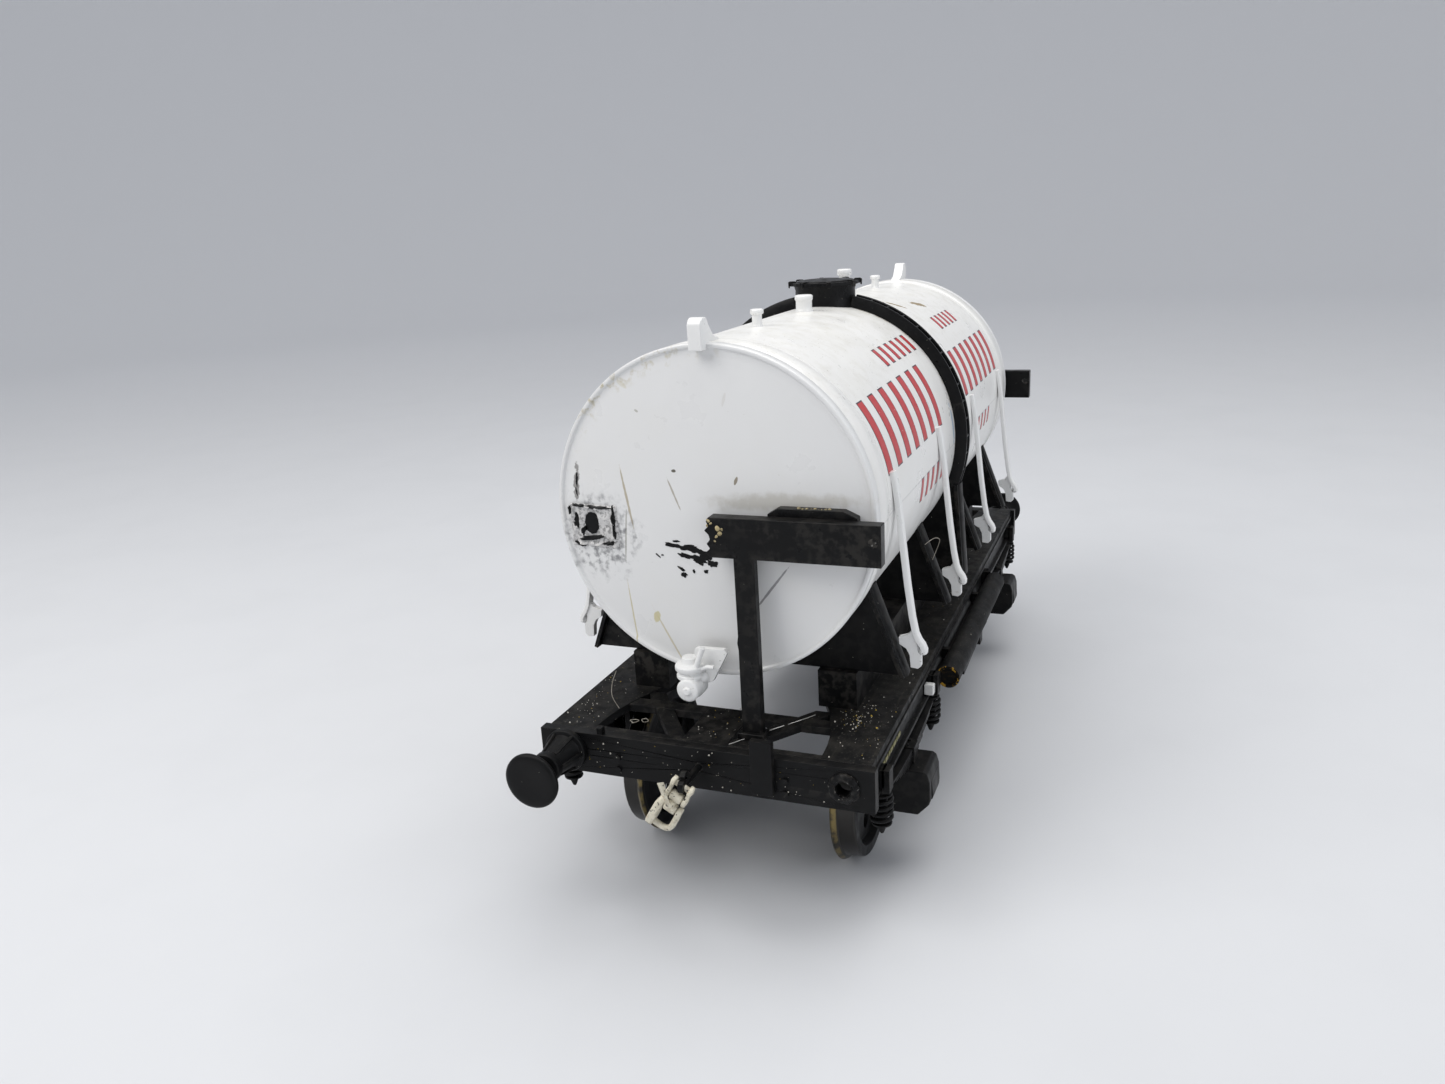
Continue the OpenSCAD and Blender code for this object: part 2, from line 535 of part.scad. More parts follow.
// The screw hangs between two trunnions and carries the tommy bar, which has a flared tip
module screw(end) color("ivory") on_hook(end, link_len) {
    for (z = [0, -screw_len]) translate([0, 0, z]) {
        along_y(-strap_y - 0.6) cylinder(r = pin_r, h = 2 * strap_y + 1.2, $fn = small_fn);
        along_y(0.2 - strap_y) cylinder(r = 0.7, h = 2 * strap_y - 0.4, $fn = small_fn);
    }
    translate([0, 0, -screw_len]) cylinder(r = 0.5, h = screw_len, $fn = small_fn);
    translate([0, 0, -screw_len / 2]) {
        along_x(-1.6) cylinder(r = 0.28, h = 1.6, $fn = small_fn);
        translate([-1.6, 0, 0]) rotate([-45, 0, 0]) {
            translate([0, 0, -0.5]) cylinder(r = 0.36, h = 2.6, $fn = small_fn);
            plate_y(-0.22, 0.44) polygon([[-0.3, 1.9], [0.3, 1.9], [0.6, 3.4], [-0.5, 3.8]]);
        }
    }
}

// A U-shaped shackle: one arm is a thick flattened casting and the other a plain bar
module shackle(end) color("ivory") on_hook(end, link_len + screw_len) difference() {
    union() {
        plate_y(strap_y, 1.1) {
            circle(r = 0.75, $fn = small_fn);
            translate([0, 1.1 - shackle_len]) circle(r = 1.1, $fn = small_fn);
            polygon([[-0.75, 0], [0.75, 0], [1.1, 1.1 - shackle_len], [-1.1, 1.1 - shackle_len]]);
        }
        plate_y(-strap_y - 0.7, 0.7) {
            circle(r = 0.75, $fn = small_fn);
            translate([-0.4, 0.5 - shackle_len]) square([0.8, shackle_len - 0.5]);
        }
        translate([0, 0, 0.5 - shackle_len]) along_y(-strap_y - 0.7)
            cylinder(r = 0.45, h = 2 * strap_y + 0.9, $fn = small_fn);
    }
    along_y(-3) cylinder(r = pin_r + fit, h = 6, $fn = small_fn);
}

// ---- End beams and valves ----

// Half of an end beam with its post and the bracket that joins it to the tank's end: where it
// starts and stops across the wagon, the post's middle and how far the beam stands higher
module end_beam_half(tip_y, inner_y, post_y, rise) difference() {
    z = beam_z + rise;
    union() {
        translate([-beam_x - 2, -tip_y, z - beam_h / 2]) cube([2, tip_y - inner_y, beam_h]);
        translate([-beam_x - 2, -post_y - post_w / 2, deck_z]) cube([1.4, post_w, z - deck_z]);
        translate([-beam_x - 2.6, -post_y - post_w / 2 - 0.4, deck_z]) cube([2.4, post_w + 0.8, 0.9]);
        translate([-beam_x, 0, 0]) rotate([90, 0, 90]) linear_extrude(2.4) polygon([
            [-20.6, z - 1.6], [-20.6, beam_z + 3.1], [-18.8, beam_z + 3.9],
            [-10.2, beam_z + 3.9], [-8.8, beam_z + 3.1], [-8.8, z - 1.6]]);
    }
    translate([0, 1 - tip_y, z]) along_x(-beam_x - 3) cylinder(r = 0.5, h = 2, $fn = small_fn);
    tank_end(-1);
}
module end_beam_near() color("#1b1b1c") end_beam_half(24, 1, 6, 0);
module end_beam_far() color("#1b1b1c") at_end(1) {
    end_beam_half(far_beam_y, 0, 6, 1.6);
    mirror([0, 1, 0]) end_beam_half(far_beam_y, 0, 7, 1.6);
}

// Outlet valve below the tank's end: leaf flange, ringed body, lever and capped outlet
module outlet_valves() color("white") for (end = [-1, 1]) at_end(end)
    translate([-tank_half - 2.4, 2.6, 0]) {
    translate([0, 0.5, 0]) rotate_extrude($fn = small_fn) polygon([[0, 31], [1.2, 31],
        [1.2, 32.7], [1.9, 32.9], [1.9, 33.5], [1.6, 33.6], [1.6, 33.9], [2.1, 34.1], [2.1, 34.8],
        [1.2, 35.1], [1.2, 35.9], [0, 35.9]]);
    translate([0, 0.2, 31.7]) along_x(-2.7) rotate_extrude($fn = small_fn) polygon([[0, 0],
        [0.6, 0], [0.6, 0.4], [1.6, 0.4], [1.6, 2], [1.75, 2.1], [1.75, 3.9], [0, 3.9]]);
    plate_x(0.6, 0.8) polygon([[0.2, 33.4], [-0.2, 37], [-4.6, 37.2], [-5, 36.6], [-2.6, 32.4],
        [-1, 31.6]]);
    translate([-0.9, -0.3, 33.6]) rotate([22, 0, 0]) cylinder(r = 0.45, h = 4.6, $fn = small_fn);
    translate([0.4, -1.2, 34.5]) along_x(0) cylinder(r = 0.9, h = 2.1, $fn = small_fn);
    }

module vacuum_pipe_brackets() color("#1e1e1f") for (end = [-1, 1]) at_end(end) {
    translate([-frame_half - 1, -10.7, headstock_bottom + 1]) cube([1, 3, headstock_h + 1.6]);
    translate([-frame_half, 14.3, deck_z]) cube([1, 0.8, 1]);
}

tank_barrel();
tank_end(-1);  // tank_end_near
tank_end(1);  // tank_end_far
ballast_weight();
lifting_lugs();
small_vents();
vent_stub();
breather_vent();
manhole_neck();
manhole_lid();
lid_clamps();
centre_band();
tie_rods_left();
tie_rods_right();
rod_anchors();
cradle(-outer_cradle_x);  // cradle_near
cradle(-inner_cradle_x);  // cradle_second
cradle_centre();
cradle(inner_cradle_x);  // cradle_fourth
cradle(outer_cradle_x);  // cradle_far
bearers();
fixing_screws();
deck_plate();
solebar(1);  // solebar_left
solebar(-1);  // solebar_right
headstock(-1);  // headstock_near
headstock(1);  // headstock_far
headstock_bolts();
axleguards();
axleboxes();
bearing_cups();
leaf_springs();
spring_hangers();
axle(-axle_x);  // axle_near
wheel_pair(-axle_x);  // wheels_near
axle(axle_x);  // axle_far
wheel_pair(axle_x);  // wheels_far
reservoirs();
brake_shoes();
brake_shaft();
brake_levers();
buffer_housings();
buffer_socket_near();
buffer_springs();
buffer_head(buffer_spacing / 2);  // buffer_head_near
at_end(1) buffer_head(buffer_spacing / 2);  // buffer_head_far_left
at_end(1) buffer_head(-buffer_spacing / 2);  // buffer_head_far_right
draw_springs();
drawhook(-1);  // drawhook_near
drawhook(1);  // drawhook_far
link(-1);  // link_near
link(1);  // link_far
screw(-1);  // screw_near
screw(1);  // screw_far
shackle(-1);  // shackle_near
shackle(1);  // shackle_far
end_beam_near();
end_beam_far();
outlet_valves();
vacuum_pipe_brackets();
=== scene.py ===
"""The looks of a model tank wagon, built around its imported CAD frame.

Lengths are in millimetres in the wagon's frame: X along it with the damaged near end at -X, Y to its
left side, Z up. Shape turns them into metres. Each piece rides on the CAD body that it belongs to.
"""

import json
import math
import random

import bmesh
import bpy
from mathutils import Matrix, Vector, noise


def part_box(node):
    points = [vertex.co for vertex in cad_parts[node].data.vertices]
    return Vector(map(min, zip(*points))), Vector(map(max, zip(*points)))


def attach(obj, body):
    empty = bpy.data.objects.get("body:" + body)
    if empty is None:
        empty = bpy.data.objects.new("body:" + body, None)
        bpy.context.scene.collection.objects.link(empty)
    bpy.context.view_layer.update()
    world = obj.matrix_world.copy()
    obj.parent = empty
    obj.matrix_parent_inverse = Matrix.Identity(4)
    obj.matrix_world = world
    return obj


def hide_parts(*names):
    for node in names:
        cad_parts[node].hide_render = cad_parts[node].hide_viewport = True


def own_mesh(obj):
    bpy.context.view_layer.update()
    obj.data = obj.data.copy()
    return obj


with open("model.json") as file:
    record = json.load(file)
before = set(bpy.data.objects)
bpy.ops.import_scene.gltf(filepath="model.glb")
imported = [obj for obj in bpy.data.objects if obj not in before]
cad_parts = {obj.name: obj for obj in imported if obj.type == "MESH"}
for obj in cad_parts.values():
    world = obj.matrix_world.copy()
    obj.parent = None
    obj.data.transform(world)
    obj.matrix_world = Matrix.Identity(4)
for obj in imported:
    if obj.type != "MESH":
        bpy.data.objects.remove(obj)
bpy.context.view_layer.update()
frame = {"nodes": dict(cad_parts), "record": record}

MM = 0.001
EDGE = 0.08
CREASE = 32
noise.seed_set(4)


def box_mm(node):
    """Lowest and highest corner of a CAD node, in millimetres."""
    lo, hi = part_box(node)
    return lo / MM, hi / MM


# ---------------------------------------------------------------- sizes, taken from the frame
BARREL_LO, BARREL_HI = box_mm("tank_barrel")
TANK_R = (BARREL_HI.y - BARREL_LO.y) / 2
TANK_Z = (BARREL_HI.z + BARREL_LO.z) / 2
TANK_TOP = TANK_Z + TANK_R
BODY_R = TANK_R - 0.25
BARREL_END = BARREL_HI.x
RIM_X = BARREL_END + 1.8
DISH_EDGE = RIM_X - 0.3
DISH_R = TANK_R - 0.8
DISH = box_mm("tank_end_far")[1].x - DISH_EDGE
BAND_EDGE = BARREL_END - 4.1
SEAM_X = BARREL_END - 5.6
DECK_Z = box_mm("deck_plate")[1].z
DECK_UNDER = box_mm("deck_plate")[0].z
HEAD_X = box_mm("headstock_far")[1].x
HEAD_LO, HEAD_HI = box_mm("headstock_near")
CRADLE_Z = box_mm("cradle_near")[0].z
AXLE_X = (box_mm("axle_far")[0].x + box_mm("axle_far")[1].x) / 2
AXLE_Z = (box_mm("axle_far")[0].z + box_mm("axle_far")[1].z) / 2
TREAD_R = box_mm("wheels_far")[1].z - AXLE_Z - 0.8
BUFFER_LO, BUFFER_HI = box_mm("buffer_head_near")
BUFFER_Y = (BUFFER_LO.y + BUFFER_HI.y) / 2
BUFFER_Z = (BUFFER_LO.z + BUFFER_HI.z) / 2
HEAD_THICK = 1.6
SPRING_Y = 23.2
SOLEBAR_Y = 22.75
TANK_SIDES = 160
ORIGIN = (0, 0, 0)
TANK_AXIS = (0, 0, TANK_Z)
AXLE_SIDES = [(x, side) for x in (-AXLE_X, AXLE_X) for side in (-1, 1)]
CRADLE_X = [(box_mm(n)[0].x + box_mm(n)[1].x) / 2
            for n in ("cradle_near", "cradle_second", "cradle_fourth", "cradle_far")]


# ---------------------------------------------------------------- materials
class Look:
    """A material, with its patterns laid out in millimetres of the wagon's frame."""

    def __init__(self, name, color, roughness, metallic=0.0, coat=0.0, specular=0.5):
        self.material = bpy.data.materials.new(name)
        self.material.use_nodes = True
        self.tree = self.material.node_tree
        self.shader = self.tree.nodes["Principled BSDF"]
        self.shader.inputs["Metallic"].default_value = metallic
        self.shader.inputs["Coat Weight"].default_value = coat
        self.shader.inputs["Coat Roughness"].default_value = 0.12
        self.shader.inputs["Specular IOR Level"].default_value = specular
        self.shader.inputs["Roughness"].default_value = roughness
        self.shader.inputs["Base Color"].default_value = (*color, 1)
        self.color = color
        self.rough = roughness
        self.height = None
        coords = self.tree.nodes.new("ShaderNodeTexCoord").outputs["Object"]
        scaled = self.node("ShaderNodeVectorMath", operation="SCALE", inputs={"Vector": coords,
                                                                               "Scale": 1 / MM})
        self.place = scaled.outputs["Vector"]

    def node(self, kind, inputs=None, **settings):
        made = self.tree.nodes.new(kind)
        for key, value in settings.items():
            setattr(made, key, value)
        for key, value in (inputs or {}).items():
            self.put(made.inputs[key], value)
        return made

    def put(self, socket, value):
        """Links a socket, or sets the value of an input."""
        if isinstance(value, bpy.types.NodeSocket):
            self.tree.links.new(value, socket)
        elif isinstance(value, (tuple, list)) and len(value) == 3 and socket.type == "RGBA":
            socket.default_value = (*value, 1)
        else:
            socket.default_value = value

    def math(self, operation, a, b=0.0, clamp=False):
        made = self.node("ShaderNodeMath", operation=operation, use_clamp=clamp)
        self.put(made.inputs[0], a)
        self.put(made.inputs[1], b)
        return made.outputs[0]

    def axis(self, name):
        """The place along X, Y or Z."""
        return self.node("ShaderNodeSeparateXYZ", {"Vector": self.place}).outputs[name]

    def noise(self, size, detail=4.0, stretch=(1, 1, 1), offset=0.0, rough=0.55, distort=0.0):
        """Noise from 0 to 1 with features of about this size, longer along stretched axes."""
        mapped = self.node("ShaderNodeMapping", {"Vector": self.place,
                                                 "Location": (offset, offset * 1.7, offset * 0.6),
                                                 "Scale": tuple(1 / (size * s) for s in stretch)})
        made = self.node("ShaderNodeTexNoise", {"Vector": mapped.outputs["Vector"], "Scale": 1.0,
                                                "Detail": detail, "Roughness": rough,
                                                "Distortion": distort})
        return made.outputs["Fac"]

    def step(self, value, low, high, top=1.0):
        """0 below low, top above high, and smooth between them."""
        made = self.node("ShaderNodeMapRange", {"Value": value, "From Min": low, "From Max": high,
                                                "To Min": 0.0, "To Max": top},
                         interpolation_type="SMOOTHSTEP")
        return made.outputs["Result"]

    def patches(self, size, detail, low, high, top=1.0, **kind):
        """Noise sharpened into patches."""
        return self.step(self.noise(size, detail, **kind), low, high, top)

    def facing(self, axis="Z"):
        """How far the surface faces along an axis, from -1 to 1."""
        normal = self.node("ShaderNodeNewGeometry").outputs["Normal"]
        return self.node("ShaderNodeSeparateXYZ", {"Vector": normal}).outputs[axis]

    def rest(self, value):
        """What is left of 1."""
        return self.math("SUBTRACT", 1.0, value)

    def edges(self, low=0.52, high=0.58):
        """1 on outer edges, where paint wears first."""
        return self.step(self.node("ShaderNodeNewGeometry").outputs["Pointiness"], low, high)

    def reach(self, u, v):
        """The distance that two offsets add up to."""
        squares = [self.math("POWER", offset, 2.0) for offset in (u, v)]
        return self.math("SQRT", self.math("ADD", *squares))

    def product(self, *values):
        made = values[0]
        for value in values[1:]:
            made = self.math("MULTIPLY", made, value)
        return made

    def cover(self, mask, color, roughness=None):
        """Lays another colour, and roughness, over the material where mask is 1."""
        made = self.node("ShaderNodeMix", data_type="RGBA", clamp_factor=True)
        self.put(made.inputs["Factor"], mask)
        self.put(made.inputs["A"], self.color)
        self.put(made.inputs["B"], color)
        self.color = made.outputs["Result"]
        self.put(self.shader.inputs["Base Color"], self.color)
        if roughness is not None:
            blend = self.node("ShaderNodeMix", data_type="FLOAT", clamp_factor=True)
            self.put(blend.inputs["Factor"], mask)
            self.put(blend.inputs["A"], self.rough)
            self.put(blend.inputs["B"], roughness)
            self.rough = blend.outputs["Result"]
            self.put(self.shader.inputs["Roughness"], self.rough)

    def vary_roughness(self, value, low, high):
        made = self.node("ShaderNodeMapRange", {"Value": value, "From Min": 0.3, "From Max": 0.7,
                                                "To Min": low, "To Max": high})
        self.rough = made.outputs["Result"]
        self.put(self.shader.inputs["Roughness"], self.rough)

    def relief(self, height, depth, strength=1.0):
        """Bump of a depth in millimetres, added to any before it."""
        settings = {"Height": height, "Distance": depth * MM, "Strength": strength}
        made = self.node("ShaderNodeBump", settings)
        if self.height is not None:
            self.put(made.inputs["Normal"], self.height)
        self.height = made.outputs["Normal"]
        self.put(self.shader.inputs["Normal"], self.height)

    def ellipse(self, centre, radii, turn=0.0, ragged=0.3, grain=1.2, soft=0.15, plane="YZ"):
        """1 inside a ragged ellipse across the wagon (YZ) or along it (XZ), fading over soft."""
        across, up = self.axis(plane[0]), self.axis(plane[1])
        u = self.math("SUBTRACT", across, centre[0])
        v = self.math("SUBTRACT", up, centre[1])
        c, s = math.cos(math.radians(turn)), math.sin(math.radians(turn))
        along = self.math("ADD", self.math("MULTIPLY", u, c), self.math("MULTIPLY", v, s))
        side = self.math("SUBTRACT", self.math("MULTIPLY", v, c), self.math("MULTIPLY", u, s))
        reach = self.reach(self.math("DIVIDE", along, radii[0]), self.math("DIVIDE", side, radii[1]))
        wobble = self.math("MULTIPLY", self.math("SUBTRACT", self.noise(grain, 5, offset=centre[0]),
                                                 0.5), ragged * 4)
        return self.rest(self.step(self.math("ADD", reach, wobble), 1 - soft, 1 + soft))


DUST = (0.055, 0.050, 0.043)
BLACK = (0.0045, 0.0046, 0.005)


def white_paint(name, color=(0.80, 0.795, 0.775), dirt=0.5):
    """Old glossy off-white paint with a soft bloom, specks and fine scratches."""
    look = Look(name, color, 0.3, coat=0.12)
    cloud = look.noise(14, 5)
    look.vary_roughness(look.noise(5, 5, offset=3), 0.24, 0.46)
    look.cover(look.step(cloud, 0.45, 0.75, 0.35 * dirt), (0.70, 0.685, 0.62))
    fine = look.noise(0.55, 3, offset=7)
    look.cover(look.step(fine, 0.72, 0.80, 0.5 * dirt), (0.36, 0.33, 0.27), 0.6)
    scratch = look.noise(0.28, 3, stretch=(1.2, 1, 26), offset=11, distort=0.4)
    look.cover(look.step(scratch, 0.73, 0.80, 0.28 * dirt), (0.45, 0.43, 0.39), 0.5)
    look.relief(look.noise(0.5, 3, offset=5), 0.012, 0.5)
    look.relief(cloud, 0.06, 0.4)
    return look


def dusty_top(look, amount=0.5, low=0.55):
    """Dust on whatever faces up, thicker in patches."""
    up = look.step(look.facing("Z"), low, 0.98)
    patches = look.patches(5, 6, 0.42, 0.75, offset=2)
    grains = look.patches(0.35, 3, 0.60, 0.78, offset=9)
    look.cover(look.product(up, patches, amount * 0.5), DUST, 0.8)
    look.cover(look.product(up, grains, amount), (0.17, 0.158, 0.135), 0.9)


def tank_barrel_paint():
    look = white_paint("tank_barrel_paint", dirt=0.7)
    up = look.step(look.facing("Z"), 0.3, 0.95)
    look.cover(look.product(up, look.patches(2.2, 6, 0.42, 0.75, 0.32, offset=4)),
               (0.52, 0.50, 0.43), 0.6)
    look.cover(look.product(up, look.patches(0.35, 2, 0.66, 0.74, 0.6, offset=8)),
               (0.27, 0.24, 0.20), 0.7)
    seam = look.math("ABSOLUTE", look.math("SUBTRACT", look.axis("Z"), TANK_Z - 0.8))
    line = look.rest(look.step(seam, 0.05, 0.16))
    look.cover(look.product(line, 0.28), (0.33, 0.33, 0.33))
    look.relief(line, 0.05, 0.5)
    band_dirt = look.math("ABSOLUTE", look.axis("X"))
    beside = look.product(look.step(band_dirt, 1.5, 1.65),
                          look.rest(look.step(band_dirt, 1.8, 2.9)))
    look.cover(look.product(beside, look.patches(1.1, 5, 0.4, 0.7, 0.75, offset=6)),
               (0.30, 0.25, 0.17), 0.7)
    blue = look.ellipse((-3.0, TANK_Z + 2.5), (0.5, 3.4), 4, 0.5, 0.9, plane="XZ")
    look.cover(look.product(blue, 0.7), (0.20, 0.33, 0.47))
    for centre, radii, turn in (((25, TANK_Z + 19.8), (2.6, 0.35), -12),
                                ((15, TANK_Z + 20.6), (1.7, 0.25), -24)):
        mark = look.ellipse(centre, radii, turn, 0.5, 0.8, plane="XZ")
        look.cover(mark, (0.27, 0.21, 0.12), 0.6)
    return look.material


def tank_end_paint(near):
    # The ends' white is greyer and a little cooler than the barrel's: painted shade on the end faces.
    look = white_paint("tank_end_paint_near" if near else "tank_end_paint_far",
                       (0.75, 0.75, 0.745), dirt=0.45)
    radius = look.reach(look.axis("Y"), look.math("SUBTRACT", look.axis("Z"), TANK_Z))
    rim = look.step(radius, DISH_R - 2.4, DISH_R + 0.4)
    upper = look.step(look.axis("Z"), TANK_Z + 4, TANK_Z + 16)
    left = look.step(look.axis("Y"), -8, 10)
    grime = look.patches(1.3, 6, 0.50, 0.68, offset=2)
    look.cover(look.product(rim, upper, left, grime, 0.75), (0.42, 0.36, 0.20), 0.6)
    if not near:
        return look.material
    for centre, radii, turn, color, amount in (
            ((11.7, 57.0), (4.3, 0.17), 80, (0.36, 0.29, 0.18), 0.75),
            ((12.4, 39.8), (5.2, 0.11), 86, (0.50, 0.42, 0.20), 0.7),
            ((7.0, 37.2), (4.6, 0.13), 64, (0.52, 0.45, 0.28), 0.7),
            ((8.7, 40.3), (0.5, 0.9), 20, (0.56, 0.50, 0.26), 0.8),
            ((4.6, 58.1), (2.2, 0.13), 68, (0.30, 0.25, 0.18), 0.7),
            ((-8.4, 45.7), (3.9, 0.16), -52, (0.16, 0.15, 0.16), 0.75),
            ((-5.2, 42.3), (0.2, 0.24), 0, (0.05, 0.04, 0.04), 1.0),
            ((4.4, 61.2), (0.30, 0.2), 0, (0.12, 0.11, 0.09), 1.0),
            ((-4.3, 60.2), (0.22, 0.6), 20, (0.22, 0.18, 0.12), 0.9),
            ((9.5, 69.0), (0.3, 0.15), 30, (0.30, 0.28, 0.22), 0.6),
            ((11.5, 72.4), (0.9, 0.3), 35, (0.52, 0.46, 0.28), 0.3),
            ((-3.0, 70.6), (0.2, 0.9), 15, (0.42, 0.38, 0.30), 0.2),
            ((12.3, 52.0), (0.13, 3.8), 6, (0.24, 0.22, 0.18), 0.6)):
        mark = look.ellipse(centre, radii, turn, 0.25, 0.8)
        look.cover(look.math("MULTIPLY", mark, amount), color, 0.5)
    soot = look.ellipse((16.6, 51.4), (5.4, 5.2), 0, 0.35, 1.6, soft=0.35)
    look.cover(look.product(soot, look.patches(1.0, 6, 0.42, 0.66, 0.75, offset=12)),
               (0.09, 0.09, 0.10), 0.6)
    above = look.ellipse((19.6, 58.6), (0.45, 2.6), 4, 0.6, 0.9)
    look.cover(look.product(above, 0.75), (0.13, 0.12, 0.11), 0.5)
    bloom = look.ellipse((-10.5, 57.6), (9.0, 1.0), -2, 0.4, 1.5, soft=0.5)
    look.cover(look.product(bloom, 0.5), (0.42, 0.39, 0.32), 0.6)
    return look.material


def fitting_paint():
    look = white_paint("fitting_paint", (0.80, 0.80, 0.79), dirt=0.6)
    chips = look.patches(0.8, 5, 0.66, 0.70, offset=13)
    look.cover(look.product(look.edges(), chips), (0.11, 0.10, 0.09), 0.6)
    low = look.rest(look.step(look.axis("Z"), 31.5, 38))
    look.cover(look.product(low, look.patches(0.7, 5, 0.58, 0.72, 0.45, offset=1)),
               (0.40, 0.37, 0.31), 0.6)
    return look.material


def black_paint(name, roughness, dust, low=0.55, wear=0.5):
    """Black paint with dust on top, pale specks and edges worn to grey."""
    look = Look(name, BLACK, roughness, specular=0.15)
    look.vary_roughness(look.noise(2.4, 5, offset=5), roughness - 0.09, roughness + 0.13)
    look.cover(look.patches(3.5, 6, 0.45, 0.75, 0.4), (0.009, 0.0088, 0.0085))
    dusty_top(look, dust, low)
    look.cover(look.product(look.edges(0.53, 0.60), look.patches(1.5, 4, 0.45, 0.6, offset=3),
                            wear), (0.04, 0.037, 0.033), 0.4)
    specks = look.patches(0.42, 1, 0.79, 0.82, offset=21)
    look.cover(look.product(specks, 0.75), (0.45, 0.43, 0.36), 0.8)
    look.relief(look.noise(0.3, 4, offset=17), 0.02, 0.6)
    return look


def deck_paint():
    look = black_paint("deck_paint", 0.55, 0.6, wear=0.5)
    brush = look.noise(0.5, 4, stretch=(20, 1, 1), offset=31)
    look.cover(look.product(look.step(look.facing("Z"), 0.6, 0.98),
                            look.step(brush, 0.55, 0.75, 0.35)), (0.06, 0.054, 0.043), 0.8)
    yellow = look.patches(0.6, 1, 0.80, 0.83, offset=41)
    look.cover(look.product(yellow, 0.8), (0.47, 0.36, 0.05), 0.6)
    return look.material


def reservoir_paint():
    look = black_paint("reservoir_paint", 0.6, 0.6, low=-0.1)
    end = look.rest(look.step(look.axis("X"), -23.98, -23.55))
    spots = look.patches(0.55, 4, 0.52, 0.60, offset=2)
    look.cover(look.product(end, spots), (0.40, 0.23, 0.03), 0.5)
    return look.material


def metal(name, color, roughness, grime=0.4, grime_color=(0.02, 0.018, 0.015)):
    look = Look(name, color, roughness, metallic=1.0)
    look.vary_roughness(look.noise(1.2, 5, offset=2), roughness - 0.08, roughness + 0.16)
    look.cover(look.patches(0.9, 6, 0.42, 0.68, grime, offset=4), grime_color, 0.6)
    look.relief(look.noise(0.25, 3, stretch=(8, 1, 1)), 0.01, 0.5)
    return look


def worn_stump():
    """Black plastic broken off short, with silvery stress marks and painted glints."""
    look = black_paint("broken_stump", 0.36, 0.0, wear=0.9)
    # Grey patches: silvery stress marks, and in part painted glints.
    marks = look.patches(0.7, 5, 0.60, 0.68, offset=6)
    look.cover(look.product(marks, 0.55), (0.30, 0.29, 0.27), 0.4)
    look.relief(look.noise(0.5, 5, offset=4), 0.12, 0.9)
    return look.material


def wheel_metal():
    """Blackened wheels with a polished tread, and brass-tinted flange tips that are partly a painted glint.
    """
    look = black_paint("wheel_metal", 0.4, 0.2)
    along = look.math("SUBTRACT", look.math("ABSOLUTE", look.axis("X")), AXLE_X)
    radius = look.reach(along, look.math("SUBTRACT", look.axis("Z"), AXLE_Z))
    tread = look.step(radius, TREAD_R - 0.35, TREAD_R - 0.2)
    look.cover(tread, (0.045, 0.043, 0.041), 0.32)
    blend = look.product(tread, 0.9)
    look.put(look.shader.inputs["Metallic"], blend)
    # Brass patches on the flange tips: partly the metal's tint, partly a painted glint.
    flange_brass_glint = look.step(radius, TREAD_R + 0.25, TREAD_R + 0.45)
    look.cover(look.product(flange_brass_glint, look.patches(1.6, 4, 0.35, 0.6, offset=3)),
               (0.20, 0.155, 0.07), 0.3)
    return look.material


def cream_paint():
    """Dirty cream paint over small castings, with black paint and rust showing through."""
    look = Look("coupling_paint", (0.66, 0.62, 0.50), 0.42, coat=0.1)
    look.vary_roughness(look.noise(0.8, 5, offset=2), 0.33, 0.6)
    look.cover(look.patches(0.9, 6, 0.45, 0.66, 0.7, offset=5), (0.40, 0.36, 0.27), 0.55)
    look.cover(look.patches(0.45, 5, 0.61, 0.66, offset=9), (0.05, 0.045, 0.04), 0.5)
    look.cover(look.patches(0.5, 3, 0.68, 0.73, offset=15), (0.45, 0.24, 0.08), 0.6)
    look.relief(look.noise(0.35, 4, offset=3), 0.05, 0.6)
    return look.material


def decal_paint(name, color):
    """Thin printed film, a little worn."""
    look = Look(name, color, 0.4, coat=0.1)
    look.cover(look.patches(0.5, 5, 0.67, 0.72, 0.8, offset=6), (0.72, 0.66, 0.62), 0.5)
    look.vary_roughness(look.noise(2, 4), 0.32, 0.5)
    look.relief(look.noise(0.3, 3), 0.01, 0.5)
    return look.material


def loose_dirt(name, color, shade):
    """Grains and fibres, darker in places, with a finely uneven surface."""
    look = Look(name, color, 0.5)
    look.vary_roughness(look.noise(0.3, 3, offset=3), 0.38, 0.7)
    look.cover(look.patches(0.6, 4, 0.42, 0.62, 0.7, offset=9), shade)
    look.relief(look.noise(0.15, 3, offset=13), 0.01, 0.6)
    return look.material


def glue(name, color):
    look = Look(name, color, 0.35, coat=0.3)
    look.cover(look.patches(0.5, 5, 0.48, 0.62), tuple(c * 0.45 for c in color), 0.6)
    look.relief(look.noise(0.3, 5, offset=2), 0.08, 0.8)
    return look.material


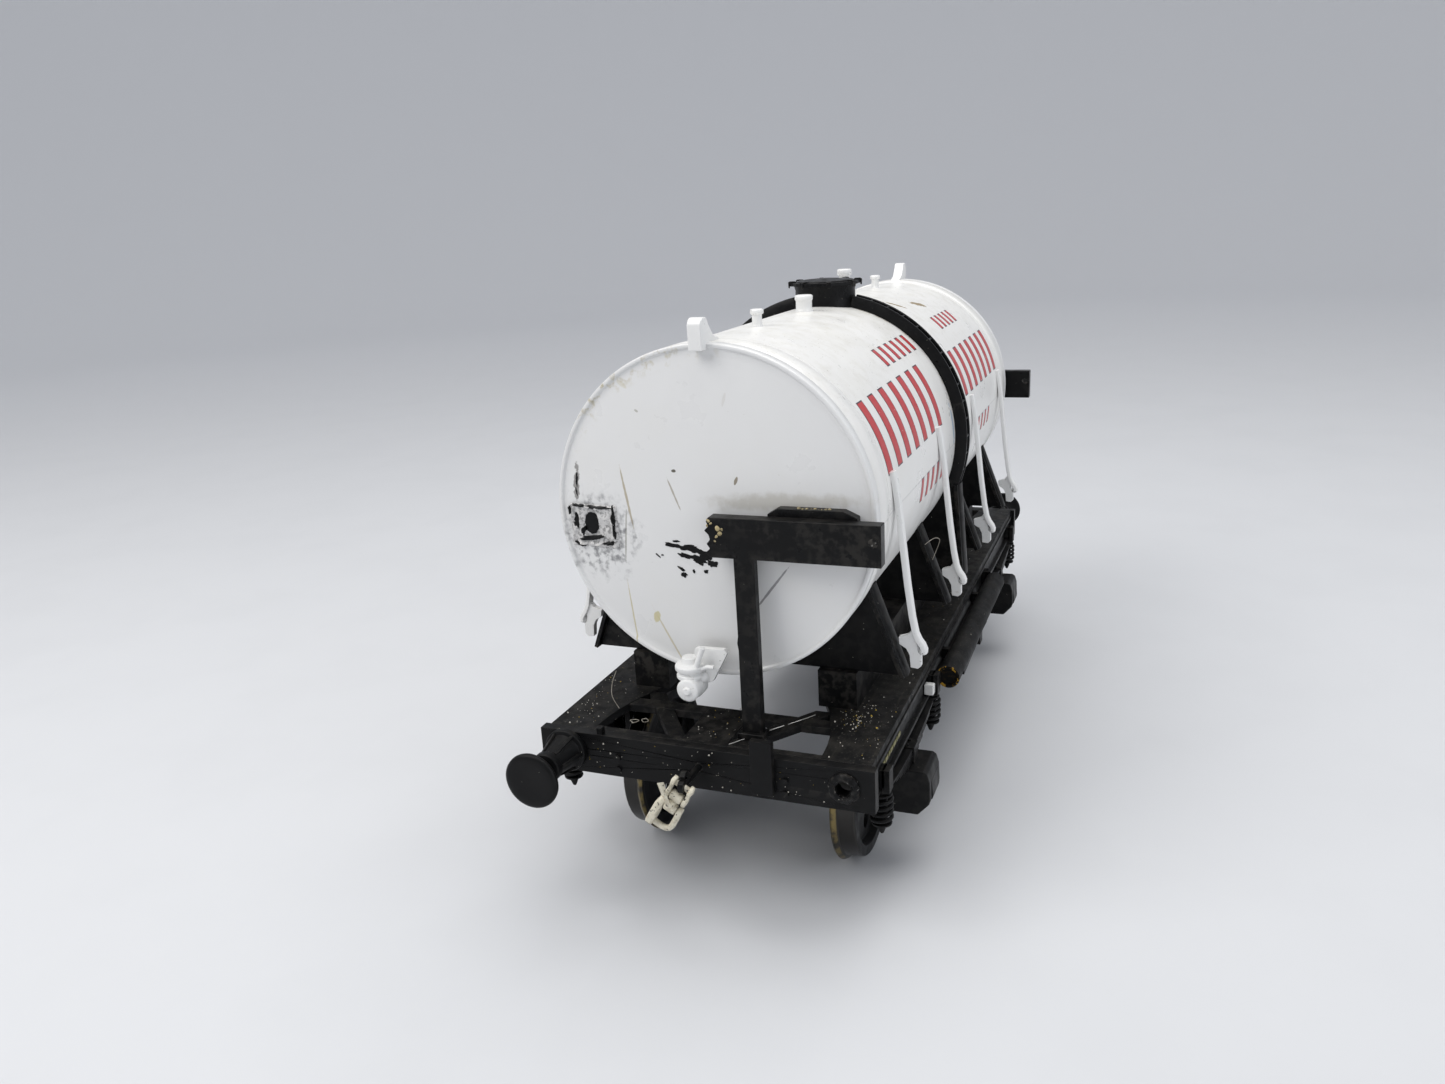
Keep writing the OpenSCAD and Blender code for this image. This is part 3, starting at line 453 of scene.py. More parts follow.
LOOKS = {
    "barrel": tank_barrel_paint(),
    "end_near": tank_end_paint(True),
    "end_far": tank_end_paint(False),
    "fitting": fitting_paint(),
    "gloss_black": black_paint("gloss_black_paint", 0.33, 0.35, low=0.7).material,
    "cradle": black_paint("cradle_paint", 0.42, 0.4, wear=0.8).material,
    "underframe": black_paint("underframe_paint", 0.42, 0.35).material,
    "deck": deck_paint(),
    "reservoir": reservoir_paint(),
    "wheel": wheel_metal(),
    "steel": metal("tread_steel", (0.42, 0.41, 0.40), 0.32).material,
    "spring": metal("spring_steel", (0.50, 0.50, 0.50), 0.35, 0.5).material,
    "brass": metal("cup_brass", (0.56, 0.40, 0.16), 0.38, 0.5).material,
    "bare": worn_stump(),
    "buffer": black_paint("buffer_paint", 0.36, 0.2, wear=0.3).material,
    "lead": metal("ballast_lead", (0.18, 0.18, 0.19), 0.6).material,
    "cream": cream_paint(),
    "red": decal_paint("red_film", (0.50, 0.035, 0.040)),
    "outline": decal_paint("dark_film", (0.055, 0.045, 0.06)),
    "scar": glue("torn_plastic", (0.62, 0.61, 0.60)),
    "smear": black_paint("smear_paint", 0.35, 0.0, wear=0.0).material,
    "amber_glue": glue("amber_glue", (0.42, 0.34, 0.17)),
    "olive": decal_paint("olive_film", (0.20, 0.185, 0.07)),
    "grit_white": loose_dirt("grit_white", (0.62, 0.60, 0.54), (0.40, 0.37, 0.31)),
    "grit_yellow": loose_dirt("grit_yellow", (0.50, 0.36, 0.04), (0.32, 0.21, 0.03)),
    "wire": metal("thin_wire", (0.55, 0.53, 0.50), 0.25, 0.3).material,
    "hair": loose_dirt("hair", (0.42, 0.39, 0.33), (0.24, 0.21, 0.17)),
}

SLOT_LOOKS = {"tank_white": "barrel end_near end_far red outline scar amber_glue",
              "gloss_black": "gloss_black smear", "fittings_white": "fitting",
              "cradle_black": "cradle", "deck_dusty": "deck grit_white grit_yellow hair",
              "underframe_black": "underframe olive", "buffer_steel": "buffer",
              "spring_steel": "spring wire", "bare_metal": "bare", "coupling_cream": "cream"}
LOOK_SLOT = {look: slot for slot, looks in SLOT_LOOKS.items() for look in looks.split()}


# ---------------------------------------------------------------- shapes
def moved(points, across, up=0.0):
    """The same flat points, pushed sideways and up."""
    return [(a + across, b + up) for a, b in points]


def ring_faces(rings, sides, closed=False):
    """Four-cornered faces between rings of vertices, and from the last to the first if closed."""
    faces = []
    for k in range(rings if closed else rings - 1):
        a, b = k * sides, (k + 1) % rings * sides
        faces += [[a + i, a + (i + 1) % sides, b + (i + 1) % sides, b + i] for i in range(sides)]
    return faces


class Shape:
    """Vertices in millimetres and faces, gathered from simple closed parts."""

    def __init__(self):
        self.verts = []
        self.faces = []

    def add(self, verts, faces):
        start = len(self.verts)
        self.verts += [Vector(v) for v in verts]
        self.faces += [[start + i for i in face] for face in faces]
        return self

    def prism(self, outline, axis, start, depth):
        """An outline in the plane across an axis, pushed along it. Outlines are (u, v) in the order
        of the other two axes: YZ for X, XZ for Y, XY for Z."""
        place = {"X": lambda u, v, w: (w, u, v), "Y": lambda u, v, w: (u, w, v),
                 "Z": lambda u, v, w: (u, v, w)}[axis]
        count = len(outline)
        verts = [place(u, v, w) for w in (start, start + depth) for u, v in outline]
        caps = [list(range(count))[::-1], list(range(count, 2 * count))]
        return self.add(verts, caps + ring_faces(2, count))

    def block(self, one, other):
        """A box between two opposite corners."""
        (x0, x1), (y0, y1), (z0, z1) = (sorted(pair) for pair in zip(one, other))
        return self.prism([(x0, y0), (x1, y0), (x1, y1), (x0, y1)], "Z", z0, z1 - z0)

    def lathe(self, profile, centre, axis="X", sides=64, start=0.0, turn=360.0):
        """Turns (distance along the axis, radius) points round it. Ends on the axis are poles, a
        profile off the axis has to be closed, and part of a turn is closed by flat ends."""
        cx, cy, cz = centre
        place = {"X": lambda a, r, c, s: (cx + a, cy + r * c, cz + r * s),
                 "Y": lambda a, r, c, s: (cx + r * c, cy + a, cz + r * s),
                 "Z": lambda a, r, c, s: (cx + r * c, cy + r * s, cz + a)}[axis]
        whole = turn >= 360
        steps = sides if whole else sides + 1
        verts, rings = [], []
        for a, r in profile:
            if r < 1e-6:
                rings.append([len(verts)])
                verts.append(place(a, 0, 1, 0))
                continue
            rings.append(list(range(len(verts), len(verts) + steps)))
            for i in range(steps):
                angle = math.radians(start + turn * i / sides)
                verts.append(place(a, r, math.cos(angle), math.sin(angle)))
        closed = len(rings[0]) > 1 and len(rings[-1]) > 1
        pairs = list(zip(rings, rings[1:])) + ([(rings[-1], rings[0])] if closed else [])
        faces = []
        for low, high in pairs:
            for i in range(sides):
                j = (i + 1) % steps
                if len(low) == 1 and len(high) == 1:
                    continue
                if len(low) == 1:
                    faces.append([low[0], high[j], high[i]])
                elif len(high) == 1:
                    faces.append([low[i], low[j], high[0]])
                else:
                    faces.append([low[i], low[j], high[j], high[i]])
        if not whole:
            faces.append([ring[0] for ring in rings])
            faces.append([ring[-1 if len(ring) > 1 else 0] for ring in rings][::-1])
        return self.add(verts, faces)

    def sweep(self, points, section, up=(0, 0, 1)):
        """Carries a section, (sideways, up) points or a radius, along a path."""
        path = [Vector(p) for p in points]
        if isinstance(section, (int, float)):
            section = [(section * math.cos(a * math.pi / 5), section * math.sin(a * math.pi / 5))
                       for a in range(10)]
        count, size = len(path), len(section)
        verts, side = [], None
        for i, point in enumerate(path):
            along = (path[min(i + 1, count - 1)] - path[max(i - 1, 0)]).normalized()
            side = along.cross(Vector(up)) if side is None else side - along * side.dot(along)
            if side.length < 1e-6:
                side = along.orthogonal()
            side.normalize()
            rise = side.cross(along)
            verts += [point + side * u + rise * v for u, v in section]
        caps = [list(range(size))[::-1], [(count - 1) * size + k for k in range(size)]]
        return self.add(verts, ring_faces(count, size) + caps)

    def ball(self, centre, radius, sides=16):
        rows = 8
        profile = [(-radius * math.cos(math.pi * i / rows), radius * math.sin(math.pi * i / rows))
                   for i in range(rows + 1)]
        profile[0] = (-radius, 0)
        profile[-1] = (radius, 0)
        return self.lathe(profile, centre, "Z", sides)

    def turned(self, angle, axis, about):
        """The same shape turned by degrees about a point."""
        spin = Matrix.Rotation(math.radians(angle), 3, axis)
        centre = Vector(about)
        self.verts = [spin @ (v - centre) + centre for v in self.verts]
        return self

    def mirrored(self, axis):
        """A new shape, mirrored in X or Y."""
        flip = Vector((-1 if axis == "X" else 1, -1 if axis == "Y" else 1, 1))
        return Shape().add([v * flip for v in self.verts], [face[::-1] for face in self.faces])

    def join(self, other):
        return self.add(other.verts, other.faces)


def finish_mesh(name, mesh, body, look, slot, replaces, bevel, crease):
    """The shared end of every piece: bevel, smooth shading, material and body."""
    piece = bpy.data.objects.new(name, mesh)
    bpy.context.scene.collection.objects.link(piece)
    if bevel:
        modifier = piece.modifiers.new("edges", "BEVEL")
        modifier.width = bevel * MM
        modifier.segments = 2
        modifier.limit_method = "ANGLE"
        modifier.angle_limit = math.radians(crease)
        modifier.harden_normals = True
        modifier.miter_outer = "MITER_ARC"
    mesh.polygons.foreach_set("use_smooth", [True] * len(mesh.polygons))
    mesh.set_sharp_from_angle(angle=math.radians(crease))
    mesh.materials.clear()
    mesh.materials.append(LOOKS[look])
    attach(piece, body)
    if replaces:
        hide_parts(*replaces)
    return piece


def build(name, shape, look, replaces="", body="wagon", bevel=EDGE, crease=CREASE):
    """A piece of its own from a shape, which may stand for a CAD node."""
    mesh = bpy.data.meshes.new(name)
    mesh.from_pydata([v * MM for v in shape.verts], [], shape.faces)
    work = bmesh.new()
    work.from_mesh(mesh)
    bmesh.ops.recalc_face_normals(work, faces=work.faces)
    work.to_mesh(mesh)
    work.free()
    return finish_mesh(name, mesh, body, look, LOOK_SLOT[look], [replaces] if replaces else [], bevel,
                       crease)


NODE_BODY = {node: body for body, nodes in frame["record"]["behaviour"]["bodies"].items()
             for node in nodes}
NODE_SLOT = {row["node"]: row["material_slot"] for row in frame["record"]["subparts"]}


def refine(node, look):
    """A cleaned copy of a CAD node with rounded edges, which stands for the node."""
    mesh = frame["nodes"][node].data.copy()
    work = bmesh.new()
    work.from_mesh(mesh)
    bmesh.ops.remove_doubles(work, verts=work.verts, dist=0.0002 * MM)
    work.to_mesh(mesh)
    work.free()
    if mesh.attributes.get("custom_normal"):
        mesh.attributes.remove(mesh.attributes["custom_normal"])
    finish_mesh(node + "_finished", mesh, NODE_BODY[node], look, NODE_SLOT[node], [node], EDGE, CREASE)


# ---------------------------------------------------------------- stage
def make_camera():
    """Low at the near right corner, looking along the wagon."""
    data = bpy.data.cameras.new("camera")
    camera = bpy.data.objects.new("camera", data)
    bpy.context.scene.collection.objects.link(camera)
    data.lens, data.sensor_width, data.clip_start = 27.65, 36, 0.005
    heading, pitch, roll = math.radians(22.66), math.radians(-16.48), math.radians(-3.25)
    turn = (Matrix.Rotation(heading - math.pi / 2, 4, "Z")
            @ Matrix.Rotation(math.pi / 2 + pitch, 4, "X") @ Matrix.Rotation(roll, 4, "Z"))
    camera.matrix_world = Matrix.Translation(Vector((-185.1, -55.8, 93.2)) * MM) @ turn
    bpy.context.scene.camera = camera


def make_stage():
    floor = Look("floor_paper", (0.62, 0.63, 0.65), 0.85)
    floor.cover(floor.patches(30, 4, 0.4, 0.7, 0.3), (0.58, 0.59, 0.61))
    away = floor.reach(floor.axis("X"), floor.axis("Y"))
    floor.cover(floor.step(away, 200, 900), (0.86, 0.87, 0.89))
    mesh = bpy.data.meshes.new("floor")
    flat, bend, sides, steps = 900, 550, 96, 14
    angles = [k * math.pi / 2 / steps for k in range(steps + 1)]
    rings = [(1, 0)] + [(flat + bend * math.sin(a), bend * (1 - math.cos(a))) for a in angles]
    rings.append((flat + bend, 1.5 * bend))
    around = [2 * math.pi * i / sides for i in range(sides)]
    verts = [Vector((r * math.cos(a), r * math.sin(a), z)) * MM for r, z in rings for a in around]
    faces = [face[::-1] for face in ring_faces(len(rings), sides)] + [list(range(sides))]
    mesh.from_pydata(verts, [], faces)
    mesh.polygons.foreach_set("use_smooth", [True] * len(mesh.polygons))
    mesh.materials.append(floor.material)
    backdrop = bpy.data.objects.new("floor", mesh)
    bpy.context.scene.collection.objects.link(backdrop)
    world = bpy.data.worlds.new("soft_room")
    bpy.context.scene.world = world
    world.use_nodes = True
    background = world.node_tree.nodes["Background"].inputs
    background["Color"].default_value = (0.93, 0.95, 1.0, 1)
    background["Strength"].default_value = 0.47
    target = Vector((0, 0, 45)) * MM
    for name, place, size, power, color in (("key", (-300, 260, 430), 320, 1.6, (1.0, 0.985, 0.96)),
                                            ("top", (60, -60, 520), 420, 1.55, (1.0, 0.99, 0.97)),
                                            ("fill", (-160, -480, 210), 380, 0.6, (0.93, 0.96, 1.0))):
        light = bpy.data.objects.new(name, bpy.data.lights.new(name, "AREA"))
        light.data.size = size * MM
        light.data.energy = power
        light.data.color = color
        light.location = Vector(place) * MM
        aim = target - light.location
        light.rotation_euler = aim.to_track_quat("-Z", "Y").to_euler()
        light.visible_camera = False
        bpy.context.scene.collection.objects.link(light)
    bpy.context.scene.view_settings.view_transform = "Standard"


# ---------------------------------------------------------------- tank
def make_tank():
    half = [(-BARREL_END, TANK_R - 1.65), (-BARREL_END, TANK_R - 0.08), (-BARREL_END + 0.08, TANK_R)]
    half += moved([(-0.06, 0.25), (0.03, 0.22), (0.12, 0.04), (0.22, 0)], -BAND_EDGE, BODY_R)
    half += moved([(-0.12, 0), (-0.05, -0.12), (0.05, -0.12), (0.12, 0)], -SEAM_X, BODY_R)
    middle = [(x * SEAM_X / 6, BODY_R) for x in range(-5, 6)]
    barrel = Shape()
    barrel.lathe(half + middle + [(-x, r) for x, r in reversed(half)], TANK_AXIS, "X", TANK_SIDES)
    build("barrel_shell", barrel, "barrel", "tank_barrel", bevel=0, crease=50)
    rings = 22
    dish = [(DISH_EDGE + DISH * (1 - (i / rings) ** 2), DISH_R * i / rings)
            for i in range(rings, -1, -1)]
    rim = [(BARREL_END - 3, 0)]
    rim += moved([(-3, -1.7), (0, -1.7), (0, -0.05), (0.06, 0)], BARREL_END, TANK_R)
    rim += moved([(-0.2, 0), (-0.06, -0.06), (0, -0.2), (0, -0.45), (-0.07, -0.58), (-0.25, -0.68)],
                 RIM_X, TANK_R)
    for name, side in (("near", -1), ("far", 1)):
        end = Shape().lathe([(side * x, r) for x, r in rim + dish], TANK_AXIS, "X", TANK_SIDES)
        build("end_shell_" + name, end, "end_" + name, "tank_end_" + name, bevel=0, crease=50)


def end_face(y, z):
    """X of the near end's dished surface."""
    r = math.hypot(y, z - TANK_Z)
    return -(DISH_EDGE + DISH * (1 - (r / DISH_R) ** 2))


def make_band():
    """A channel round the tank with raised edges and small cross bars between them."""
    half = [(-1.6, 22.3), (-1.6, 24.15), (-1.5, 24.28), (-1.15, 24.28), (-1.02, 24.15),
            (-0.95, 23.2), (-0.3, 23.2), (-0.2, 23.75)]
    section = half + [(-x, r) for x, r in reversed(half)]
    band = Shape()
    foot, floor, bars = -20.9, 23.2, 14
    top = 90 - math.degrees(math.asin(5.0 / 23.5))
    arc = top - foot
    for start in (foot, 180 - top):
        band.lathe(section, TANK_AXIS, "X", 72, start, arc)
        for i in range(1, bars):
            angle = math.radians(start + arc * i / bars)
            out = Vector((0, math.cos(angle), math.sin(angle)))
            along = Vector((0, -out.z, out.y))
            base = Vector(TANK_AXIS) + out * floor
            bar = Shape().block((-1.0, -0.14, 0), (1.0, 0.14, 0.95))
            bar.verts = [base + Vector((v.x, 0, 0)) + along * v.y + out * v.z for v in bar.verts]
            band.join(bar)
    build("band_channel", band, "gloss_black", "centre_band", bevel=0.04, crease=40)


def make_manhole():
    lo, hi = box_mm("manhole_neck")
    r, top = (hi.x - lo.x) / 2, hi.z
    neck = moved([(-1.5, -1.5), (-1.5, 0), (-0.1, 0), (0.25, -0.02)], TANK_TOP, r)
    neck += moved([(-0.7, -0.05), (-0.3, 0.1), (0, 0.15), (0, -1.5)], top, r)
    build("neck_tube", Shape().lathe(neck, ORIGIN, "Z", 72), "gloss_black", "manhole_neck", bevel=0.03)
    ears = []
    for i in range(96):
        angle = 2 * math.pi * i / 96
        reach = r + 0.55 + 0.45 * max(0.0, math.cos(8 * angle + math.pi)) ** 2
        ears.append((reach * math.cos(angle), reach * math.sin(angle)))
    lid = Shape().prism(ears, "Z", top, 0.55)
    lid.lathe(moved([(-1, 0), (-1, r - 1.6), (0.4, r - 1.6), (0.4, 0)], top), ORIGIN, "Z", 48)
    lid.lathe(moved([(0.5, 0), (0.5, r - 0.2), (0.75, r - 0.35), (0.82, r - 1.0), (1.05, 1.0), (1.1, 0)],
                    top), ORIGIN, "Z", 64)
    build("lid_plate", lid, "gloss_black", "manhole_lid", bevel=0.06, crease=40)
    clamps = Shape()
    outline = moved([(-0.2, 0.45), (0.9, 0.5), (0.9, -0.3), (1.1, -0.3), (1.15, 0.65), (0.85, 0.82),
                     (0, 0.8), (-0.2, 0.68)], r, top)
    for i in range(8):
        clamps.join(Shape().prism(outline, "Y", -0.36, 0.72).turned(22.5 + 45 * i, "Z", ORIGIN))
    build("lid_clamp_set", clamps, "gloss_black", "lid_clamps", bevel=0.06)


def turned_vent(node, name, places, stem, cap, cap_z, top):
    """White vents: a stem with a rounded foot and a cap with softened edges."""
    vents = Shape()
    for x in places:
        vents.lathe([(-0.9, 0), (-0.9, stem), (0.0, stem + 0.22), (0.25, stem + 0.05),
                     (0.5, stem), (cap_z - 0.1, stem), (cap_z, cap - 0.06), (cap_z + 0.1, cap),
                     (top - 0.22, cap), (top - 0.08, cap - 0.08), (top, cap - 0.26), (top, 0)],
                    (x, 0, TANK_TOP - 0.25), "Z", 40)
    build(name, vents, "fitting", node, bevel=0, crease=60)


def make_roof_fittings():
    turned_vent("small_vents", "roof_vents", [-34, 34], 0.72, 0.98, 1.75, 2.45)
    turned_vent("vent_stub", "roof_stub", [-12], 1.3, 1.45, 1.75, 2.55)
    turned_vent("breather_vent", "roof_breather", [12], 0.95, 1.3, 4.0, 5.05)
    outline = [(-1.5, -0.85), (-1.55, 2.2)]
    outline += [(-1.55 + 1.15 * (1 - math.cos(a * math.pi / 12)), 2.2 + 1.05 * math.sin(a * math.pi / 12))
                for a in range(1, 7)]
    outline += [(0.35, 3.2), (0.8, 2.9), (1.3, 2.1), (2.6, 0.75), (4.6, 0.12), (4.6, -0.2),
                (-0.02, -0.2), (-0.02, -0.85)]
    lugs = Shape().prism(moved(outline, -RIM_X, TANK_TOP), "Y", -0.95, 1.9)
    lugs.join(lugs.mirrored("X"))
    build("lug_castings", lugs, "fitting", "lifting_lugs", bevel=0.22)


def make_markings():
    """Plain red bars with dark edges, printed on the tank's two sides."""
    groups = [(-47, -10.5, 11, 37, 7, 3.4), (-24, -4, 43, 51, 6, 1.9), (-28, -11, -11, -2.4, 5, 1.9),
              (11, 46, 13, 34, 7, 3.2), (20, 35, 45, 52, 5, 1.8), (22, 35, -10, -2.6, 4, 1.8)]
    inked = 0.66
    for side, side_name in ((-1, "right"), (1, "left")):
        red, dark = Shape(), Shape()
        for x0, x1, low, high, count, width in groups:
            for i in range(count):
                middle = x0 + width / 2 + (x1 - x0 - width) * i / (count - 1)
                for shape, grow, lift in ((dark, 0.2, 0.012), (red, 0.0, 0.03)):
                    curved_bar(shape, side, middle, width * inked + 2 * grow, low, high, grow, lift)
        build("markings_" + side_name, red, "red", bevel=0)
        build("marking_edges_" + side_name, dark, "outline", bevel=0)


def curved_bar(shape, side, x, width, low, high, grow, lift):
    """A thin bar that lies round the tank between two angles above its middle."""
    extra = math.degrees(grow / BODY_R)
    steps = 10
    verts = []
    for k in range(steps + 1):
        angle = math.radians(low - extra + (high - low + 2 * extra) * k / steps)
        verts += [(x + dx, side * (BODY_R + h) * math.cos(angle), TANK_Z + (BODY_R + h) * math.sin(angle))
                  for dx, h in ((-width / 2, -0.02), (width / 2, -0.02), (width / 2, lift),
                                (-width / 2, lift))]
    ends = [[3, 2, 1, 0], [4 * steps + i for i in range(4)]]
    shape.add(verts, ring_faces(steps + 1, 4) + ends)


# ---------------------------------------------------------------- damage on the near end
def ragged_outline(centre, radii, turn, seed, sides=40, rough=0.45):
    """A torn, uneven outline round an ellipse."""
    c, s = math.cos(math.radians(turn)), math.sin(math.radians(turn))
    points = []
    for i in range(sides):
        angle = 2 * math.pi * i / sides
        reach = 1 + rough * noise.fractal(Vector((math.cos(angle) * 1.7, math.sin(angle) * 1.7, seed)),
                                          0.9, 2.2, 5)
        u, v = radii[0] * reach * math.cos(angle), radii[1] * reach * math.sin(angle)
        points.append((centre[0] + u * c - v * s, centre[1] + u * s + v * c))
    return points


def end_flake(shape, centre, radii, turn, seed, lift=0.05, rough=0.45):
    """A flake of paint on the near end's dished surface."""
    outline = ragged_outline(centre, radii, turn, seed, rough=rough)
    count = len(outline)
    low = [(end_face(y, z) + 0.02, y, z) for y, z in outline]
    high = [(end_face(y, z) - lift, y, z) for y, z in outline]
    middle = (end_face(*centre) - lift * 1.4, *centre)
    back = (end_face(*centre) + 0.02, *centre)
    faces = ring_faces(2, count)
    faces += [[count + i, count + (i + 1) % count, 2 * count] for i in range(count)]
    faces += [[(i + 1) % count, i, 2 * count + 1] for i in range(count)]
    shape.add(low + high + [middle, back], faces)


def glue_scar(holes):
    """A square patch of torn plastic with a raised rim and two hollows."""
    columns, rows = 44, 36
    low, high = (13.4, 49.8), (21.0, 55.9)
    top = []
    for i in range(columns + 1):
        for k in range(rows + 1):
            u, v = i / columns, k / rows
            y, z = low[0] + (high[0] - low[0]) * u, low[1] + (high[1] - low[1]) * v
            rim = min(u, 1 - u, v, 1 - v)
            wave = noise.fractal(Vector((y * 0.9, z * 0.9, 3.1)), 0.8, 2.1, 6)
            lift = 0.16 + 0.22 * wave + 0.34 * math.exp(-((rim - 0.07) / 0.05) ** 2) * (0.6 + wave)
            lift *= min(1.0, rim / 0.05)
            for (hy, hz), (ry, rz) in holes:
                depth = 1 - math.hypot((y - hy) / ry, (z - hz) / rz)
                lift -= 0.5 * max(0.0, min(0.5, depth))
            top.append((end_face(y, z) - max(lift, -0.1), y, z))
    bottom = [(end_face(y, z) + 0.25, y, z) for _, y, z in top]
    count, step = len(top), rows + 1
    faces = []
    for a in (i * step + k for i in range(columns) for k in range(rows)):
        faces.append([a, a + step, a + step + 1, a + 1])
        faces.append([count + i for i in reversed(faces[-1])])
    ring = [i * step for i in range(columns)] + [columns * step + k for k in range(rows)]
    ring += [i * step + rows for i in range(columns, 0, -1)] + list(range(rows, 0, -1))
    faces += [[b, a, count + a, count + b] for a, b in zip(ring, ring[1:] + ring[:1])]
    build("glue_scar", Shape().add(top + bottom, faces), "scar", bevel=0, crease=70)


def make_damage():
    smears = Shape()
    for centre, radii, turn, seed in (
            ((5.2, 51.0), (1.3, 0.28), 6, 1.3), ((3.2, 50.8), (1.4, 0.36), -6, 2.1),
            ((1.6, 50.4), (1.5, 0.42), 10, 3.7), ((3.4, 49.6), (1.1, 0.34), 12, 4.2),
            ((1.6, 49.2), (1.3, 0.5), 20, 5.9), ((0.4, 49.9), (1.0, 0.6), 0, 6.6),
            ((-0.4, 48.8), (0.7, 0.5), 10, 7.1), ((4.2, 47.7), (0.55, 0.2), 30, 8.8),
            ((3.9, 46.9), (0.42, 0.36), 0, 9.5), ((2.4, 47.5), (0.2, 0.28), 0, 10.4),
            ((0.6, 47.6), (0.3, 0.26), 0, 11.2), ((7.6, 49.4), (0.45, 0.1), 40, 12.9),
            ((6.9, 49.5), (0.2, 0.09), 0, 13.3), ((4.7, 51.6), (0.5, 0.12), 0, 14.7)):
        end_flake(smears, centre, radii, turn, seed)
    build("paint_smears", smears, "smear", bevel=0)
    holes = (((20.1, 53.6), (0.6, 1.6)), ((17.6, 53.3), (1.35, 1.9)))
    glue_scar(holes)
    pits = Shape()
    for (y, z), (ry, rz) in holes:
        end_flake(pits, (y, z), (ry * 0.8, rz * 0.85), 0, y, lift=0.16, rough=0.2)
    for centre, radii, turn, seed in (
            ((16.4, 55.6), (1.9, 0.22), 0, 1.1), ((14.0, 53.6), (0.25, 1.9), 0, 2.2),
            ((20.9, 55.0), (0.3, 0.5), 0, 3.3), ((17.5, 51.2), (2.2, 0.3), -8, 4.4),
            ((15.0, 50.6), (1.1, 0.25), -10, 5.5), ((19.8, 50.2), (0.8, 0.16), 20, 6.6),
            ((19.4, 55.7), (1.0, 0.18), 4, 7.7), ((18.9, 52.1), (0.3, 0.6), 20, 8.8),
            ((19.5, 59.4), (0.16, 0.8), 6, 9.9), ((19.7, 57.6), (0.12, 0.5), -8, 10.1)):
        end_flake(pits, centre, radii, turn, seed, lift=0.42 if centre[1] < 56 else 0.05, rough=0.7)
    build("scar_pits", pits, "smear", bevel=0)


# ---------------------------------------------------------------- cradles and rods
def arc_points(centre, radius, start, stop, steps):
    return [(centre[0] + radius * math.cos(math.radians(start + (stop - start) * i / steps)),
             centre[1] + radius * math.sin(math.radians(start + (stop - start) * i / steps)))
            for i in range(steps + 1)]


def make_cradles():
    top_y, top_z = 19.4, TANK_Z - 11.4
    foot = 24.2
    places = [("near", CRADLE_X[0]), ("second", CRADLE_X[1]), ("centre", 0.0), ("fourth", CRADLE_X[2]),
              ("far", CRADLE_X[3])]
    for name, x in places:
        half, (y, z) = (2.0, (23.0, TANK_Z - 8)) if name == "centre" else (1.8, (top_y, top_z))
        shape = Shape()
        reach = math.degrees(math.atan2(z - TANK_Z, math.sqrt(BODY_R ** 2 - (z - TANK_Z) ** 2)))
        bed = arc_points((0, TANK_Z), BODY_R + 0.02, 180 - reach - 360, reach, 40)
        shape.prism([(-foot, CRADLE_Z), (foot, CRADLE_Z), (y, z)] + bed[::-1] + [(-y, z)],
                    "X", x - 0.7, 1.4)
        edge = [(-half, -0.45), (half, -0.45), (half, 0.15)]
        edge += [(half * 0.78 * math.cos(math.radians(a)), 0.15 + 0.4 * math.sin(math.radians(a)))
                 for a in range(0, 181, 30)] + [(-half, 0.15)]
        count = len(edge)
        for side in (-1, 1):
            low = Vector((x, side * (foot - 0.45), CRADLE_Z))
            high = Vector((x, side * (y - 0.35), z))
            run = high - low
            out = Vector((0, run.z, -run.y)).normalized() * side
            verts = [p + Vector((u, 0, 0)) + out * v for p in (low, high) for u, v in edge]
            caps = [list(range(count)), list(range(count, 2 * count))[::-1]]
            shape.add(verts, caps + [face[::-1] for face in ring_faces(2, count)])
        build("cradle_%s_plate" % name, shape, "cradle", "cradle_" + name, bevel=0.06, crease=40)


def make_rods():
    """White straps from the tank's side down to a hook on a flat pad."""
    strap = [(-0.75, -0.35), (0.75, -0.35), (0.75, 0.1), (0.62, 0.33), (0.3, 0.45), (-0.3, 0.45),
             (-0.62, 0.33), (-0.75, 0.1)]
    line = [(22.15, 59.6), (22.5, 58.2), (22.95, 55.0), (23.5, 49.5), (24.1, 44.0), (24.7, 39.5),
            (25.15, 37.2), (25.6, 36.2), (26.1, 35.5), (26.35, 34.9), (26.3, 34.45)]
    pad = [(24.5, 37.4), (24.1, 36.9), (22.85, 36.5), (22.95, 35.5), (23.9, 34.9), (24.35, 34.0),
           (24.5, 32.2), (25.5, 32.1), (25.95, 32.5), (25.95, 34.0), (25.5, 34.6), (25.3, 36.4),
           (24.9, 37.4)]
    for side, name in ((-1, "right"), (1, "left")):
        rods = Shape()
        for x in CRADLE_X:
            rods.sweep([(x, side * y, z) for y, z in line], strap, up=(0, side, 0))
            rods.prism([(side * y, z) for y, z in pad], "X", x - 0.5, 1.0)
            rods.ball((x, side * 26.2, 34.65), 0.62, 16)
        build("straps_" + name, rods, "fitting", "tie_rods_" + name, bevel=0.07)


def make_anchors():
    """White blocks beside the inner spring hangers, with torn tops."""
    lo, hi = box_mm("rod_anchors")
    half = 0.72
    rng = random.Random(5)
    blocks = Shape()
    for x in (lo.x + 0.7, hi.x - 0.7):
        for side in (-1, 1):
            crest = [(x + half - 2 * half * k / 5, hi.z - 0.5 + rng.uniform(0, 0.5)) for k in range(6)]
            blocks.prism([(x - half, lo.z), (x + half, lo.z)] + crest,
                         "Y", side * (hi.y - half) - half, 2 * half)
    build("anchor_lugs", blocks, "fitting", "rod_anchors", bevel=0.16)


